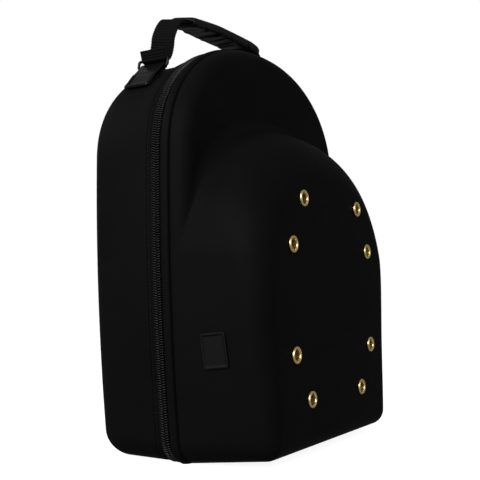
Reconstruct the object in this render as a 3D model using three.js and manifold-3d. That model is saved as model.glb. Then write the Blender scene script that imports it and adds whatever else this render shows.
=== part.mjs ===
// Cap carrier: two moulded foam shells zipped together, with a carry handle, vent eyelets and a side patch.
// Millimetres, +Z up, front towards -Y, right side towards +X.
// The origin is on the floor, under the middle of the object's box.

import * as THREE from 'three';
import { mergeVertices } from 'three/addons/utils/BufferGeometryUtils.js';
import Module from 'manifold-3d';

const wasm = await Module();
wasm.setup();

// Outline of the case where the shells meet, seen from the front
const HEIGHT = 334;
const HALF_WIDTH = 131.4;
const SHOULDER_Z = 234.5;
const FOOT_NARROWING = 16.8;
const FOOT_RADIUS = 22;
const SMALLEST_FOOT_RADIUS = 7;
const ARCH_POWER = 2.14;
const OUTLINE_STEPS = { bottom: 3, corner: 5, side: 8, arch: 14 };
const FINE_STEPS = { bottom: 4, corner: 24, side: 24, arch: 75 };
const SIDE_SPACING = 0.8;

// Both shells
const WALL = 4;
const RIM_ROUND = 1.5;
const RIM_CHAMFER = 1.2;
const GAP = 0.3;

// Front shell: a shallow tray, the ledge, with a deeper dome standing out of it
const DRAFT = THREE.MathUtils.degToRad(7);
const LEDGE_DEPTH = 13.9;
const LEDGE_RADIUS = 11.5;
const DOME_DEPTH = 73.3;
const DOME_DEPTH_Z = 100;
const DOME_LEAN = 0.03;
const DOME_TOP_Z = 266;
const DOME_SPRING_Z = 129;
const DOME_HALF_WIDTH = 131.2;
const DOME_POWER = 2.34;
const DOME_FOOT_RADIUS = 14;
const DOME_FOOT_BLEND_Z = 100;
const DOME_SIDE_RADIUS = 21.5;
const DOME_TOP_RADIUS = 52;
const DOME_BLEND_Z = 130;
const CREASE_RADIUS = 12;
const CREASE_FADE = 25;
const SPINE_LOW_Z = 95;
const SPINE_HIGH_Z = 195;
const SPINE_REACH = 0.92;
const LINE_SAMPLES = 80;
const OUTER_ROWS = 18;
const INNER_ROWS = 10;
const BEND_WEIGHT = 42;
const EVENED_LINES = 2;

// Back shell: a plain tray with a rounded rear edge, flat underneath. Its arch lies lower than the
// front shell's: a little at the rim, and more from some way behind it.
const BACK_RIM_Y = 21;
const BACK_REAR_Y = 84;
const BACK_EDGE_RADIUS = 26;
const BACK_DRAFT = THREE.MathUtils.degToRad(1.2);
const BACK_EDGE_STEPS = { outside: 5, inside: 3 };
const BACK_TOP_DROP = { rim: 2.5, behind: 6.5, reach: 15 };

// Zipper and bead, between the shells. A section's offset is measured outwards from the outline.
const BEAD_SECTION = [
  { offset: -3, y: 0.3 },
  { offset: 0, y: 0.3 },
  { offset: 1.8, y: 2.2 },
  { offset: 1.8, y: 5.4 },
  { offset: 0, y: 7.3 },
  { offset: -3, y: 7.3 },
];
const TAPE_OFFSETS = { outer: -3.3, inner: -4.5 };
const TAPE_MEETING_Y = 12.1;
const COIL_SECTION = [
  { offset: -3, y: 8.3 },
  { offset: 0, y: 8.3 },
  { offset: 0.8, y: 9.5 },
  { offset: 0.8, y: 14.7 },
  { offset: 0, y: 15.9 },
  { offset: -3, y: 15.9 },
];
const HINGE = { halfLength: 80, low: 1.5, high: 3, front: 7.6, rear: 20.7 };
const SLIDER = { z: 105, length: 14, width: 9.6, low: 1.1, high: 5 };
const PULL = { length: 32, width: 8, low: 2.4, high: 4, overlap: 3 };

// Vent eyelets on the dome: places on the right half, each with its mirror image
const EYELET_PLACES = [
  { x: 51.5, z: 201 },
  { x: 71.5, z: 164.5 },
  { x: 71.5, z: 82 },
  { x: 48, z: 47 },
];
const EYELET = {
  flange: 6.6,
  barrel: 4.95,
  bore: 4.4,
  crown: 1.9,
  shoulder: 0.9,
  backFlange: 6,
  backLip: 0.7,
};
const EYELET_HOLE_RADIUS = 5.35;
const EYELET_DRILL_LENGTH = 24;
const EYELET_PLAY = { outside: 0.5, inside: 1.3 };
const EYELET_SIDES = 10;

// Rubber patch on the left side wall
const PATCH = { z: 87, depth: 32.7, width: 20, height: 26, corner: 1.5, border: 1.8, floor: 0.9, rim: 1.6 };
const PATCH_TURN = THREE.MathUtils.degToRad(6);

// Carry handle over the back shell, its strap lying across the depth
const STRAP_Y = 48.5;
const STRAP_WIDTH = 24;
const STRAP_THICKNESS = 2;
const STRAP_STEPS = 28;
const STRAP_ROUTE = [
  { x: -82.5, z: 319 },
  { x: -78.8, z: 322.6 },
  { x: -76, z: 328 },
  { x: -74.5, z: 334 },
  { x: -73.6, z: 340 },
  { x: -71.3, z: 345.6 },
  { x: -67.2, z: 352.5 },
  { x: -61, z: 358.8 },
  { x: -52.6, z: 360.8 },
  { x: -40, z: 362.4 },
  { x: -9, z: 363.9 },
  { x: 20, z: 364.5 },
  { x: 44, z: 364.6 },
  { x: 55, z: 364.1 },
  { x: 65, z: 361.6 },
  { x: 71, z: 355.5 },
  { x: 73.3, z: 347 },
  { x: 74.4, z: 338 },
  { x: 75.8, z: 329 },
  { x: 78.8, z: 322.6 },
  { x: 82.5, z: 319 },
];
const STRAP_END = { halfWidth: 5.1, halfHeight: 5.8, corner: 2.5, outwards: 0.1, upwards: 2.5 };
const GRIP = { from: -46.5, to: 65.5, width: 27.5, thickness: 9.6, bevel: 2.4, steps: 12, channelPast: 6 };
const GRIP_PLAY = 0.5;

// Rings and tabs that hold the handle on the shell's shoulders
const TAB = { lowX: 107.5, flatX: 104, rise: 4.5, layer: 1.1, steps: 8 };
const BAR_X = 83.6;
const BAR_LIFT = 2.1;
const WIRE_RADIUS = 1.2;
const WIRE_PLAY = 0.3;
const WIRE_SIDES = 6;
const RING = { width: 29.4, span: 6.3, corner: 1.6, cornerSteps: 3, shift: 1.2 };
const RING_LEAN = THREE.MathUtils.degToRad(10);
const LOOP_SIDES = 14;

// Colours and finishes
const BLACK_CLOTH = { color: 0x121214, roughness: 0.8, metalness: 0 };
const BLACK_TAPE = { color: 0x0e0e10, roughness: 0.9, metalness: 0 };
const BLACK_NYLON = { color: 0x19191b, roughness: 0.45, metalness: 0 };
const BLACK_WEBBING = { color: 0x151517, roughness: 0.85, metalness: 0 };
const BLACK_RUBBER = { color: 0x131314, roughness: 0.6, metalness: 0 };
const BLACK_GLOSS = { color: 0x1b1b1d, roughness: 0.3, metalness: 0 };
const BLACK_METAL = { color: 0x202022, roughness: 0.35, metalness: 0.8 };
const BRASS = { color: 0xc2a257, roughness: 0.3, metalness: 1 };

// The right half of an outline, from the bottom middle up to the top, as points in x and z.
// A drop lowers the arch.
function halfOutline(inset, floor, steps, drop = 0) {
  const halfWidth = HALF_WIDTH - inset;
  const rise = HEIGHT - SHOULDER_Z - inset - drop;
  const radius = Math.max(FOOT_RADIUS - inset, SMALLEST_FOOT_RADIUS);
  const sideX = (z) => halfWidth - FOOT_NARROWING * ((SHOULDER_Z - z) / SHOULDER_Z) ** 2;
  const slope = (2 * FOOT_NARROWING * (SHOULDER_Z - floor - radius)) / SHOULDER_Z ** 2;
  const lean = Math.atan(slope);
  const cornerTopZ = floor + radius * (1 - Math.sin(lean));
  const cornerX = sideX(cornerTopZ) - radius * Math.cos(lean);
  const points = [];
  for (let i = 0; i < steps.bottom; i++) {
    points.push(new THREE.Vector2((cornerX * i) / steps.bottom, floor));
  }
  for (let i = 0; i <= steps.corner; i++) {
    const angle = -Math.PI / 2 + ((Math.PI / 2 - lean) * i) / steps.corner;
    const z = floor + radius + radius * Math.sin(angle);
    points.push(new THREE.Vector2(cornerX + radius * Math.cos(angle), z));
  }
  for (let i = 1; i <= steps.side; i++) {
    const z = cornerTopZ + (SHOULDER_Z - cornerTopZ) * (i / steps.side) ** SIDE_SPACING;
    points.push(new THREE.Vector2(sideX(z), z));
  }
  for (let i = 1; i < steps.arch; i++) {
    const angle = ((Math.PI / 2) * i) / steps.arch;
    const x = halfWidth * Math.cos(angle) ** (2 / ARCH_POWER);
    const z = SHOULDER_Z + rise * Math.sin(angle) ** (2 / ARCH_POWER);
    points.push(new THREE.Vector2(x, z));
  }
  points.push(new THREE.Vector2(0, SHOULDER_Z + rise));
  return points;
}

// The whole outline: up the right side and down the left
function outline(inset, floor, drop = 0) {
  const right = halfOutline(inset, floor, OUTLINE_STEPS, drop);
  const left = right.slice(1, -1).reverse();
  return [...right, ...left.map((p) => new THREE.Vector2(-p.x, p.y))];
}

// Outward directions at the points of a closed outline
function outwards(points) {
  return points.map((point, i) => {
    const before = points[(i + points.length - 1) % points.length];
    const after = points[(i + 1) % points.length];
    const along = after.clone().sub(before).normalize();
    return new THREE.Vector2(along.y, -along.x);
  });
}

// Shortest distance from a point to a path
function distanceToPath(path, point) {
  let best = Infinity;
  for (let i = 1; i < path.length; i++) {
    const step = path[i].clone().sub(path[i - 1]);
    const toPoint = point.clone().sub(path[i - 1]);
    const along = THREE.MathUtils.clamp(toPoint.dot(step) / step.lengthSq(), 0, 1);
    best = Math.min(best, toPoint.addScaledVector(step, -along).length());
  }
  return best;
}

const RIM_PATH = halfOutline(0, 0, FINE_STEPS);

// The dome's own outline on the ledge: straight legs and an arched top
function domePath() {
  const points = [new THREE.Vector2(DOME_HALF_WIDTH, -HEIGHT)];
  for (let i = 0; i <= FINE_STEPS.arch; i++) {
    const angle = ((Math.PI / 2) * i) / FINE_STEPS.arch;
    const x = DOME_HALF_WIDTH * Math.max(Math.cos(angle), 0) ** (2 / DOME_POWER);
    const z = DOME_SPRING_Z + (DOME_TOP_Z - DOME_SPRING_Z) * Math.sin(angle) ** (2 / DOME_POWER);
    points.push(new THREE.Vector2(x, z));
  }
  return points;
}

const DOME_PATH = domePath();

// Distance inside the dome's outline, negative outside it
function domeInset(point) {
  const distance = distanceToPath(DOME_PATH, point);
  const across = point.x / DOME_HALF_WIDTH;
  const up = Math.max(point.y - DOME_SPRING_Z, 0) / (DOME_TOP_Z - DOME_SPRING_Z);
  const inside = across ** DOME_POWER + up ** DOME_POWER < 1;
  return inside ? distance : -distance;
}

// How far a moulded wall stands out, at a distance inside its outline: drafted, then a round edge, then flat
function wallHeight(inset, height, radius) {
  const round = Math.min(radius, height);
  const flatStart = (round + (height - round) * Math.sin(DRAFT)) / Math.cos(DRAFT);
  const roundStart = flatStart - round * Math.cos(DRAFT);
  if (inset < roundStart) {
    return inset / Math.tan(DRAFT);
  }
  if (inset < flatStart) {
    return height - round + Math.sqrt(round ** 2 - (flatStart - inset) ** 2);
  }
  return height;
}

// The same wall rising from a ledge, with a hollow fillet where it meets it
function filletedWall(inset, ledge, fillet, height, radius) {
  const filletStart = ((ledge + fillet) * Math.sin(DRAFT) - fillet) / Math.cos(DRAFT);
  if (inset <= filletStart) {
    return ledge;
  }
  if (inset < filletStart + fillet * Math.cos(DRAFT)) {
    return ledge + fillet - Math.sqrt(fillet ** 2 - (inset - filletStart) ** 2);
  }
  return Math.max(ledge, wallHeight(inset, height, radius));
}

// Depth of the front shell at a place in front view, on its outside (wall 0) or its inside (wall WALL)
function frontDepth(x, z, wall) {
  const point = new THREE.Vector2(Math.abs(x), z);
  const fromRim = Math.max(distanceToPath(RIM_PATH, point) - wall, 0);
  const fromDome = Math.min(domeInset(point) - wall, fromRim);
  const ledge = wallHeight(fromRim, LEDGE_DEPTH - RIM_ROUND - wall, LEDGE_RADIUS - wall);
  const aboveFoot = THREE.MathUtils.smoothstep(z, 0, DOME_FOOT_BLEND_Z);
  const side = THREE.MathUtils.lerp(DOME_FOOT_RADIUS, DOME_SIDE_RADIUS, aboveFoot);
  const upwards = THREE.MathUtils.smoothstep(z, DOME_BLEND_Z, DOME_TOP_Z);
  const radius = THREE.MathUtils.lerp(side, DOME_TOP_RADIUS, upwards) - wall;
  const depth = DOME_DEPTH - DOME_LEAN * (z - DOME_DEPTH_Z) - RIM_ROUND - wall;
  const fillet = (CREASE_RADIUS + wall) * THREE.MathUtils.smoothstep(fromRim - fromDome, 0, CREASE_FADE);
  return RIM_ROUND + filletedWall(fromDome, ledge, fillet, depth, radius);
}

// Point and outward direction on the outside of the front shell
function frontPoint(x, z) {
  const step = 0.5;
  const acrossX = (frontDepth(x + step, z, 0) - frontDepth(x - step, z, 0)) / (2 * step);
  const acrossZ = (frontDepth(x, z + step, 0) - frontDepth(x, z - step, 0)) / (2 * step);
  return {
    place: new THREE.Vector3(x, -frontDepth(x, z, 0), z),
    normal: new THREE.Vector3(-acrossX, -1, -acrossZ).normalize(),
  };
}

// Running total of a finely sampled line's length and bending, as shares of the whole
function bendShares(line) {
  const totals = [0];
  for (let i = 1; i < line.length; i++) {
    const step = line[i].clone().sub(line[i - 1]);
    const next = i + 1 < line.length ? line[i + 1].clone().sub(line[i]) : step;
    totals.push(totals[i - 1] + step.length() + BEND_WEIGHT * step.angleTo(next));
  }
  return totals.map((value) => value / totals[totals.length - 1]);
}

// Each line's shares evened with its neighbours', so that rows of points run on smoothly from line to line
function evened(shares) {
  const count = shares.length;
  return shares.map((own, i) =>
    own.map((_, k) => {
      let sum = 0;
      for (let j = -EVENED_LINES; j <= EVENED_LINES; j++) {
        sum += shares[(i + j + count) % count][k];
      }
      return sum / (2 * EVENED_LINES + 1);
    }),
  );
}

// How far along a line its shares reach a wanted value, from 0 to 1
function reachOf(shares, wanted) {
  const i = Math.max(shares.findIndex((value) => value >= wanted), 1);
  const part = (wanted - shares[i - 1]) / (shares[i] - shares[i - 1]);
  return (i - 1 + THREE.MathUtils.clamp(part, 0, 1)) / LINE_SAMPLES;
}

// Rings of points over the front shell, from its rim in to its middle, closer together where it bends
function frontRings(wall, rows) {
  const rims = outline(wall, wall);
  const placed = (rim, reach) => {
    const middle = new THREE.Vector2(0, THREE.MathUtils.clamp(rim.y, SPINE_LOW_Z, SPINE_HIGH_Z));
    const place = rim.clone().lerp(middle, SPINE_REACH * reach ** 2);
    return new THREE.Vector3(place.x, -frontDepth(place.x, place.y, wall), place.y);
  };
  const lines = rims.map((rim) =>
    Array.from({ length: LINE_SAMPLES + 1 }, (_, i) => placed(rim, i / LINE_SAMPLES)),
  );
  const shares = evened(evened(lines.map(bendShares)));
  const rings = [];
  for (let row = 0; row < rows; row++) {
    rings.push(rims.map((rim, i) => placed(rim, reachOf(shares[i], row / (rows - 1)))));
  }
  return rings;
}

// A ring of outline points at one depth
function ringAt(inset, floor, y, drop = 0) {
  return outline(inset, floor, drop).map((p) => new THREE.Vector3(p.x, y, p.y));
}

// Volume inside a mesh, negative when its faces point in
function signedVolume(positions, index) {
  const corner = (i) => new THREE.Vector3().fromArray(positions, 3 * index[i]);
  let sum = 0;
  for (let i = 0; i < index.length; i += 3) {
    sum += corner(i).dot(corner(i + 1).cross(corner(i + 2)));
  }
  return sum / 6;
}

// One closed body through a row of rings, its patches split along their shorter diagonals. An endless
// row joins its last ring to its first, and the ends of any other row are closed by fans.
function bodyFromRings(rings, endless = false) {
  const count = rings[0].length;
  const points = rings.flat();
  const index = [];
  const bands = endless ? rings.length : rings.length - 1;
  for (let band = 0; band < bands; band++) {
    for (let i = 0; i < count; i++) {
      const a = band * count + i;
      const b = band * count + ((i + 1) % count);
      const c = ((band + 1) % rings.length) * count + i;
      const d = ((band + 1) % rings.length) * count + ((i + 1) % count);
      const shorter = points[a].distanceTo(points[d]) <= points[b].distanceTo(points[c]);
      index.push(...(shorter ? [a, b, d, a, d, c] : [a, b, c, b, d, c]));
    }
  }
  if (!endless) {
    for (const end of [0, rings.length - 1]) {
      const middle = rings[end].reduce((sum, p) => sum.add(p), new THREE.Vector3()).divideScalar(count);
      const hub = points.push(middle) - 1;
      for (let i = 0; i < count; i++) {
        const a = end * count + i;
        const b = end * count + ((i + 1) % count);
        index.push(...(end === 0 ? [hub, b, a] : [hub, a, b]));
      }
    }
  }
  const positions = points.flatMap((p) => [p.x, p.y, p.z]);
  if (signedVolume(positions, index) < 0) {
    index.reverse();
  }
  const geometry = new THREE.BufferGeometry();
  geometry.setAttribute('position', new THREE.Float32BufferAttribute(positions, 3));
  geometry.setIndex(index);
  geometry.computeVertexNormals();
  return geometry;
}

// A closed mesh as a solid that can be cut and joined
function toSolid(geometry) {
  const bare = geometry.clone();
  bare.deleteAttribute('normal');
  bare.deleteAttribute('uv');
  const merged = mergeVertices(bare);
  const vertProperties = new Float32Array(merged.attributes.position.array);
  const triVerts = new Uint32Array(merged.index.array);
  return new wasm.Manifold(new wasm.Mesh({ numProp: 3, vertProperties, triVerts }));
}

// A solid back as a mesh
function fromSolid(solid) {
  const mesh = solid.getMesh();
  const geometry = new THREE.BufferGeometry();
  geometry.setAttribute('position', new THREE.Float32BufferAttribute(mesh.vertProperties, 3));
  geometry.setIndex(new THREE.Uint32BufferAttribute(mesh.triVerts, 1));
  geometry.computeVertexNormals();
  return geometry;
}

// Front shell: outside from the middle to the rim, over the rim, and back along the inside
function frontShell() {
  const outer = frontRings(0, OUTER_ROWS).reverse();
  const rim = ringAt(RIM_CHAMFER, RIM_CHAMFER, 0);
  const inner = frontRings(WALL, INNER_ROWS);
  inner[0] = ringAt(WALL, WALL, 0);
  let solid = toSolid(bodyFromRings([...outer, rim, ...inner]));
  for (const { place, normal } of eyeletSeats()) {
    const radius = EYELET_HOLE_RADIUS;
    const drill = new THREE.CylinderGeometry(radius, radius, EYELET_DRILL_LENGTH, EYELET_SIDES);
    drill.applyQuaternion(new THREE.Quaternion().setFromUnitVectors(new THREE.Vector3(0, 1, 0), normal));
    drill.translate(place.x, place.y, place.z);
    solid = solid.subtract(toSolid(drill));
  }
  return fromSolid(solid);
}

// Rings of the back shell's outside (wall 0) or inside (wall WALL), from behind its rim to its rear face
function backRings(wall, steps) {
  const edge = BACK_EDGE_RADIUS - wall;
  const edgeY = BACK_REAR_Y - BACK_EDGE_RADIUS;
  const drawnIn = (y) => wall + Math.tan(BACK_DRAFT) * (y - BACK_RIM_Y);
  const dropY = BACK_RIM_Y + BACK_TOP_DROP.reach;
  const rings = [ringAt(drawnIn(dropY), wall, dropY, BACK_TOP_DROP.behind)];
  for (let i = 0; i <= steps; i++) {
    const angle = ((Math.PI / 2) * i) / steps;
    const turnedIn = edge * (1 - Math.cos(angle));
    const y = edgeY + edge * Math.sin(angle);
    rings.push(ringAt(drawnIn(edgeY) + turnedIn, wall + turnedIn, y, BACK_TOP_DROP.behind));
  }
  return rings;
}

// Back shell: rear face to rim along the outside, then back along the inside
function backShell() {
  const outer = backRings(0, BACK_EDGE_STEPS.outside).reverse();
  const rim = [
    ringAt(0, 0, BACK_RIM_Y + RIM_ROUND, BACK_TOP_DROP.rim),
    ringAt(RIM_CHAMFER, RIM_CHAMFER, BACK_RIM_Y, BACK_TOP_DROP.rim),
    ringAt(WALL, WALL, BACK_RIM_Y, BACK_TOP_DROP.rim),
  ];
  const inner = backRings(WALL, BACK_EDGE_STEPS.inside);
  return bodyFromRings([...outer, ...rim, ...inner]);
}

// A section swept along the case's outline, all round or over the sides and top only
function rimSweep(section, allRound) {
  const points = outline(0, 0);
  const normals = outwards(points);
  const first = allRound ? 0 : OUTLINE_STEPS.bottom;
  const last = allRound ? points.length - 1 : points.length - OUTLINE_STEPS.bottom;
  const rings = [];
  for (let i = first; i <= last; i++) {
    rings.push(
      section.map(({ offset, y }) => {
        const place = points[i].clone().addScaledVector(normals[i], offset);
        return new THREE.Vector3(place.x, y, Math.max(place.y, 0));
      }),
    );
  }
  return bodyFromRings(rings, allRound);
}

// A flat tape's section between two depths
function tapeSection(front, rear) {
  const { outer, inner } = TAPE_OFFSETS;
  return [
    { offset: inner, y: front },
    { offset: outer, y: front },
    { offset: outer, y: rear },
    { offset: inner, y: rear },
  ];
}

// Cloth hinge under the bottom, in the stretch that the zipper leaves free
function hingeStrip() {
  const strip = new THREE.BoxGeometry(2 * HINGE.halfLength, HINGE.rear - HINGE.front, HINGE.high - HINGE.low);
  strip.translate(0, (HINGE.front + HINGE.rear) / 2, (HINGE.low + HINGE.high) / 2);
  return strip;
}

// Zipper slider with its pull, drawn at the origin: x outwards, z up along the zipper
function slider() {
  const body = new THREE.BoxGeometry(SLIDER.high - SLIDER.low, SLIDER.width, SLIDER.length);
  body.translate((SLIDER.low + SLIDER.high) / 2, 0, 0);
  const pull = new THREE.BoxGeometry(PULL.high - PULL.low, PULL.width, PULL.length);
  pull.translate((PULL.low + PULL.high) / 2, 0, PULL.overlap - (SLIDER.length + PULL.length) / 2);
  return fromSolid(toSolid(body).add(toSolid(pull)));
}

// Where each eyelet sits: down the right half, then down the left
function eyeletSeats() {
  const seats = [];
  for (const side of [1, -1]) {
    for (const { x, z } of EYELET_PLACES) {
      seats.push(frontPoint(side * x, z));
    }
  }
  return seats;
}

// A crimped eyelet about its own axis: rolled flange outside, barrel through the wall, flat flange inside
function eyelet() {
  const back = -WALL - EYELET_PLAY.inside;
  const profile = [
    [EYELET.bore, back - EYELET.backLip],
    [EYELET.backFlange, back - EYELET.backLip],
    [EYELET.backFlange, back],
    [EYELET.barrel, back],
    [EYELET.barrel, EYELET_PLAY.outside],
    [EYELET.flange, EYELET_PLAY.outside],
    [EYELET.flange, EYELET.shoulder],
    [(EYELET.flange + EYELET.bore) / 2, EYELET.crown],
    [EYELET.bore, EYELET.shoulder],
    [EYELET.bore, back - EYELET.backLip],
  ];
  return new THREE.LatheGeometry(profile.map(([r, h]) => new THREE.Vector2(r, h)), EYELET_SIDES);
}

// A rectangle with round corners, as points
function roundedRectangle(halfWidth, halfHeight, corner, steps) {
  const points = [];
  for (let quarter = 0; quarter < 4; quarter++) {
    const right = quarter === 0 || quarter === 3 ? 1 : -1;
    const top = quarter < 2 ? 1 : -1;
    for (let i = 0; i <= steps; i++) {
      const angle = (Math.PI / 2) * (quarter + i / steps);
      const x = right * (halfWidth - corner) + corner * Math.cos(angle);
      const y = top * (halfHeight - corner) + corner * Math.sin(angle);
      points.push(new THREE.Vector2(x, y));
    }
  }
  return points;
}

// Patch with a raised border, drawn at the origin: y along its width, z up, x outwards
function sidePatch() {
  const levels = [
    { inset: 0, height: GAP },
    { inset: 0, height: PATCH.rim },
    { inset: PATCH.border, height: PATCH.rim },
    { inset: PATCH.border, height: PATCH.floor },
  ];
  const rings = levels.map(({ inset, height }) => {
    const corner = Math.max(PATCH.corner - inset, PATCH.corner / 3);
    const points = roundedRectangle(PATCH.width / 2 - inset, PATCH.height / 2 - inset, corner, 2);
    return points.map((p) => new THREE.Vector3(height, p.x, p.y));
  });
  return bodyFromRings(rings);
}

// A shape in x and z given a width across the depth, about the strap's middle
function acrossDepth(points, width, bevel = 0) {
  const geometry = new THREE.ExtrudeGeometry(new THREE.Shape(points), {
    depth: width - 2 * bevel,
    bevelEnabled: bevel > 0,
    bevelThickness: bevel,
    bevelSize: bevel,
    bevelOffset: -bevel,
    bevelSegments: 2,
  });
  geometry.rotateX(Math.PI / 2);
  geometry.translate(0, STRAP_Y + width / 2 - bevel, 0);
  return geometry;
}

const STRAP_CURVE = new THREE.SplineCurve(STRAP_ROUTE.map(({ x, z }) => new THREE.Vector2(x, z)));

// The strap's edge-on outline along its route
function ribbon(thickness, from, to, steps) {
  const upper = [];
  const lower = [];
  for (let i = 0; i <= steps; i++) {
    const t = THREE.MathUtils.lerp(from, to, i / steps);
    const along = STRAP_CURVE.getTangent(t);
    const aside = new THREE.Vector2(-along.y, along.x).multiplyScalar(thickness / 2);
    upper.push(STRAP_CURVE.getPoint(t).add(aside));
    lower.unshift(STRAP_CURVE.getPoint(t).sub(aside));
  }
  return [...upper, ...lower];
}

// Where the strap's route passes a place across the case
function routeAt(x) {
  let low = 0;
  let high = 1;
  for (let i = 0; i < 30; i++) {
    const middle = (low + high) / 2;
    if (STRAP_CURVE.getPoint(middle).x < x) {
      low = middle;
    } else {
      high = middle;
    }
  }
  return low;
}

// Point and outward direction on the back shell's shoulder under the strap's front edge
function shoulder(x) {
  const inset = Math.tan(BACK_DRAFT) * (STRAP_Y - STRAP_WIDTH / 2 - BACK_RIM_Y - RIM_ROUND);
  const halfWidth = HALF_WIDTH - inset;
  const rise = HEIGHT - SHOULDER_Z - inset - BACK_TOP_DROP.behind;
  const up = rise * (1 - (x / halfWidth) ** ARCH_POWER) ** (1 / ARCH_POWER);
  const across = x ** (ARCH_POWER - 1) / halfWidth ** ARCH_POWER;
  const upwards = up ** (ARCH_POWER - 1) / rise ** ARCH_POWER;
  return {
    place: new THREE.Vector2(x, SHOULDER_Z + up),
    normal: new THREE.Vector2(across, upwards).normalize(),
  };
}

// The ring's two bars on the right side: the lower in the tab's loop, the upper in the strap's end
const LOOP_RADIUS = WIRE_RADIUS + WIRE_PLAY + TAB.layer;
const BAR_SEAT = shoulder(BAR_X);
const LOWER_BAR = BAR_SEAT.place.clone().addScaledVector(BAR_SEAT.normal, GAP + LOOP_RADIUS + BAR_LIFT);
const BAR_TO_BAR = new THREE.Vector2(-Math.sin(RING_LEAN), Math.cos(RING_LEAN));
const UPPER_BAR = LOWER_BAR.clone().addScaledVector(BAR_TO_BAR, RING.span);

// A round outline about a point
function circle(centre, radius, sides) {
  const points = [];
  for (let i = 0; i < sides; i++) {
    const angle = (2 * Math.PI * i) / sides;
    points.push(new THREE.Vector2(centre.x + radius * Math.cos(angle), centre.y + radius * Math.sin(angle)));
  }
  return points;
}

// The same points on the left (side -1) or right (side 1) of the case
function onSide(points, side) {
  return points.map((p) => new THREE.Vector2(side * p.x, p.y));
}

// Carry strap: one ribbon whose ends are wrapped round the rings' upper bars
function handleWebbing() {
  let solid = toSolid(acrossDepth(ribbon(STRAP_THICKNESS, 0, 1, STRAP_STEPS), STRAP_WIDTH));
  const centre = UPPER_BAR.clone().add(new THREE.Vector2(STRAP_END.outwards, STRAP_END.upwards));
  const wrap = roundedRectangle(STRAP_END.halfWidth, STRAP_END.halfHeight, STRAP_END.corner, 3);
  for (const side of [1, -1]) {
    const placed = onSide(wrap.map((p) => p.clone().add(centre)), side);
    const hole = onSide(circle(UPPER_BAR, WIRE_RADIUS + WIRE_PLAY, LOOP_SIDES), side);
    solid = solid.add(toSolid(acrossDepth(placed, STRAP_WIDTH)));
    solid = solid.subtract(toSolid(acrossDepth(hole, 2 * STRAP_WIDTH)));
  }
  return fromSolid(solid);
}

// Padded sleeve round the middle of the strap
function handleGrip() {
  const from = routeAt(GRIP.from);
  const to = routeAt(GRIP.to);
  const sleeve = toSolid(acrossDepth(ribbon(GRIP.thickness, from, to, GRIP.steps), GRIP.width, GRIP.bevel));
  const start = routeAt(GRIP.from - GRIP.channelPast);
  const end = routeAt(GRIP.to + GRIP.channelPast);
  const channel = ribbon(STRAP_THICKNESS + 2 * GRIP_PLAY, start, end, STRAP_STEPS);
  return fromSolid(sleeve.subtract(toSolid(acrossDepth(channel, STRAP_WIDTH + 2 * GRIP_PLAY))));
}

// Wire ring: a rectangle with round corners, standing on the tab
function wireRing(side) {
  const path = roundedRectangle(RING.width / 2, RING.span / 2, RING.corner, RING.cornerSteps);
  const normals = outwards(path);
  const middle = LOWER_BAR.clone().lerp(UPPER_BAR, 0.5);
  const across = new THREE.Vector2(BAR_TO_BAR.y, -BAR_TO_BAR.x);
  const rings = path.map((p, i) => {
    const section = [];
    for (let k = 0; k < WIRE_SIDES; k++) {
      const angle = (2 * Math.PI * k) / WIRE_SIDES;
      const inPlane = WIRE_RADIUS * Math.cos(angle);
      const offPlane = WIRE_RADIUS * Math.sin(angle);
      const up = p.y + normals[i].y * inPlane;
      const place = middle.clone().addScaledVector(BAR_TO_BAR, up).addScaledVector(across, offPlane);
      const y = STRAP_Y + RING.shift + p.x + normals[i].x * inPlane;
      section.push(new THREE.Vector3(side * place.x, y, place.y));
    }
    return section;
  });
  return bodyFromRings(rings, true);
}

// Glossy tab: two layers that lie on the shoulder and rise to a loop round the ring's lower bar
function tab(side) {
  const under = [];
  const over = [];
  for (let i = 0; i <= TAB.steps; i++) {
    const x = THREE.MathUtils.lerp(BAR_X, TAB.lowX, i / TAB.steps);
    const { place, normal } = shoulder(x);
    const rise = (TAB.rise * Math.max(TAB.flatX - x, 0)) / (TAB.flatX - BAR_X);
    under.push(place.clone().addScaledVector(normal, GAP));
    over.unshift(place.clone().addScaledVector(normal, GAP + 2 * TAB.layer + rise));
  }
  const plate = toSolid(acrossDepth(onSide([...under, ...over], side), STRAP_WIDTH));
  const loop = toSolid(acrossDepth(onSide(circle(LOWER_BAR, LOOP_RADIUS, LOOP_SIDES), side), STRAP_WIDTH));
  const hole = onSide(circle(LOWER_BAR, WIRE_RADIUS + WIRE_PLAY, LOOP_SIDES), side);
  return fromSolid(plate.add(loop).subtract(toSolid(acrossDepth(hole, 2 * STRAP_WIDTH))));
}

const carrier = new THREE.Group();

function addPiece(name, geometry, finish) {
  const mesh = new THREE.Mesh(geometry, new THREE.MeshStandardMaterial(finish));
  mesh.name = name;
  carrier.add(mesh);
  return mesh;
}

addPiece('back_shell', backShell(), BLACK_CLOTH);
addPiece('front_shell', frontShell(), BLACK_CLOTH);
addPiece('rim_bead', rimSweep(BEAD_SECTION, true), BLACK_CLOTH);
const frontTape = tapeSection(GAP, TAPE_MEETING_Y - GAP / 2);
const backTape = tapeSection(TAPE_MEETING_Y + GAP / 2, BACK_RIM_Y - GAP);
addPiece('zipper_tape_front', rimSweep(frontTape, true), BLACK_TAPE);
addPiece('zipper_tape_back', rimSweep(backTape, true), BLACK_TAPE);
addPiece('zipper_coil', rimSweep(COIL_SECTION, false), BLACK_NYLON);
addPiece('hinge_strip', hingeStrip(), BLACK_TAPE);

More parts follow.
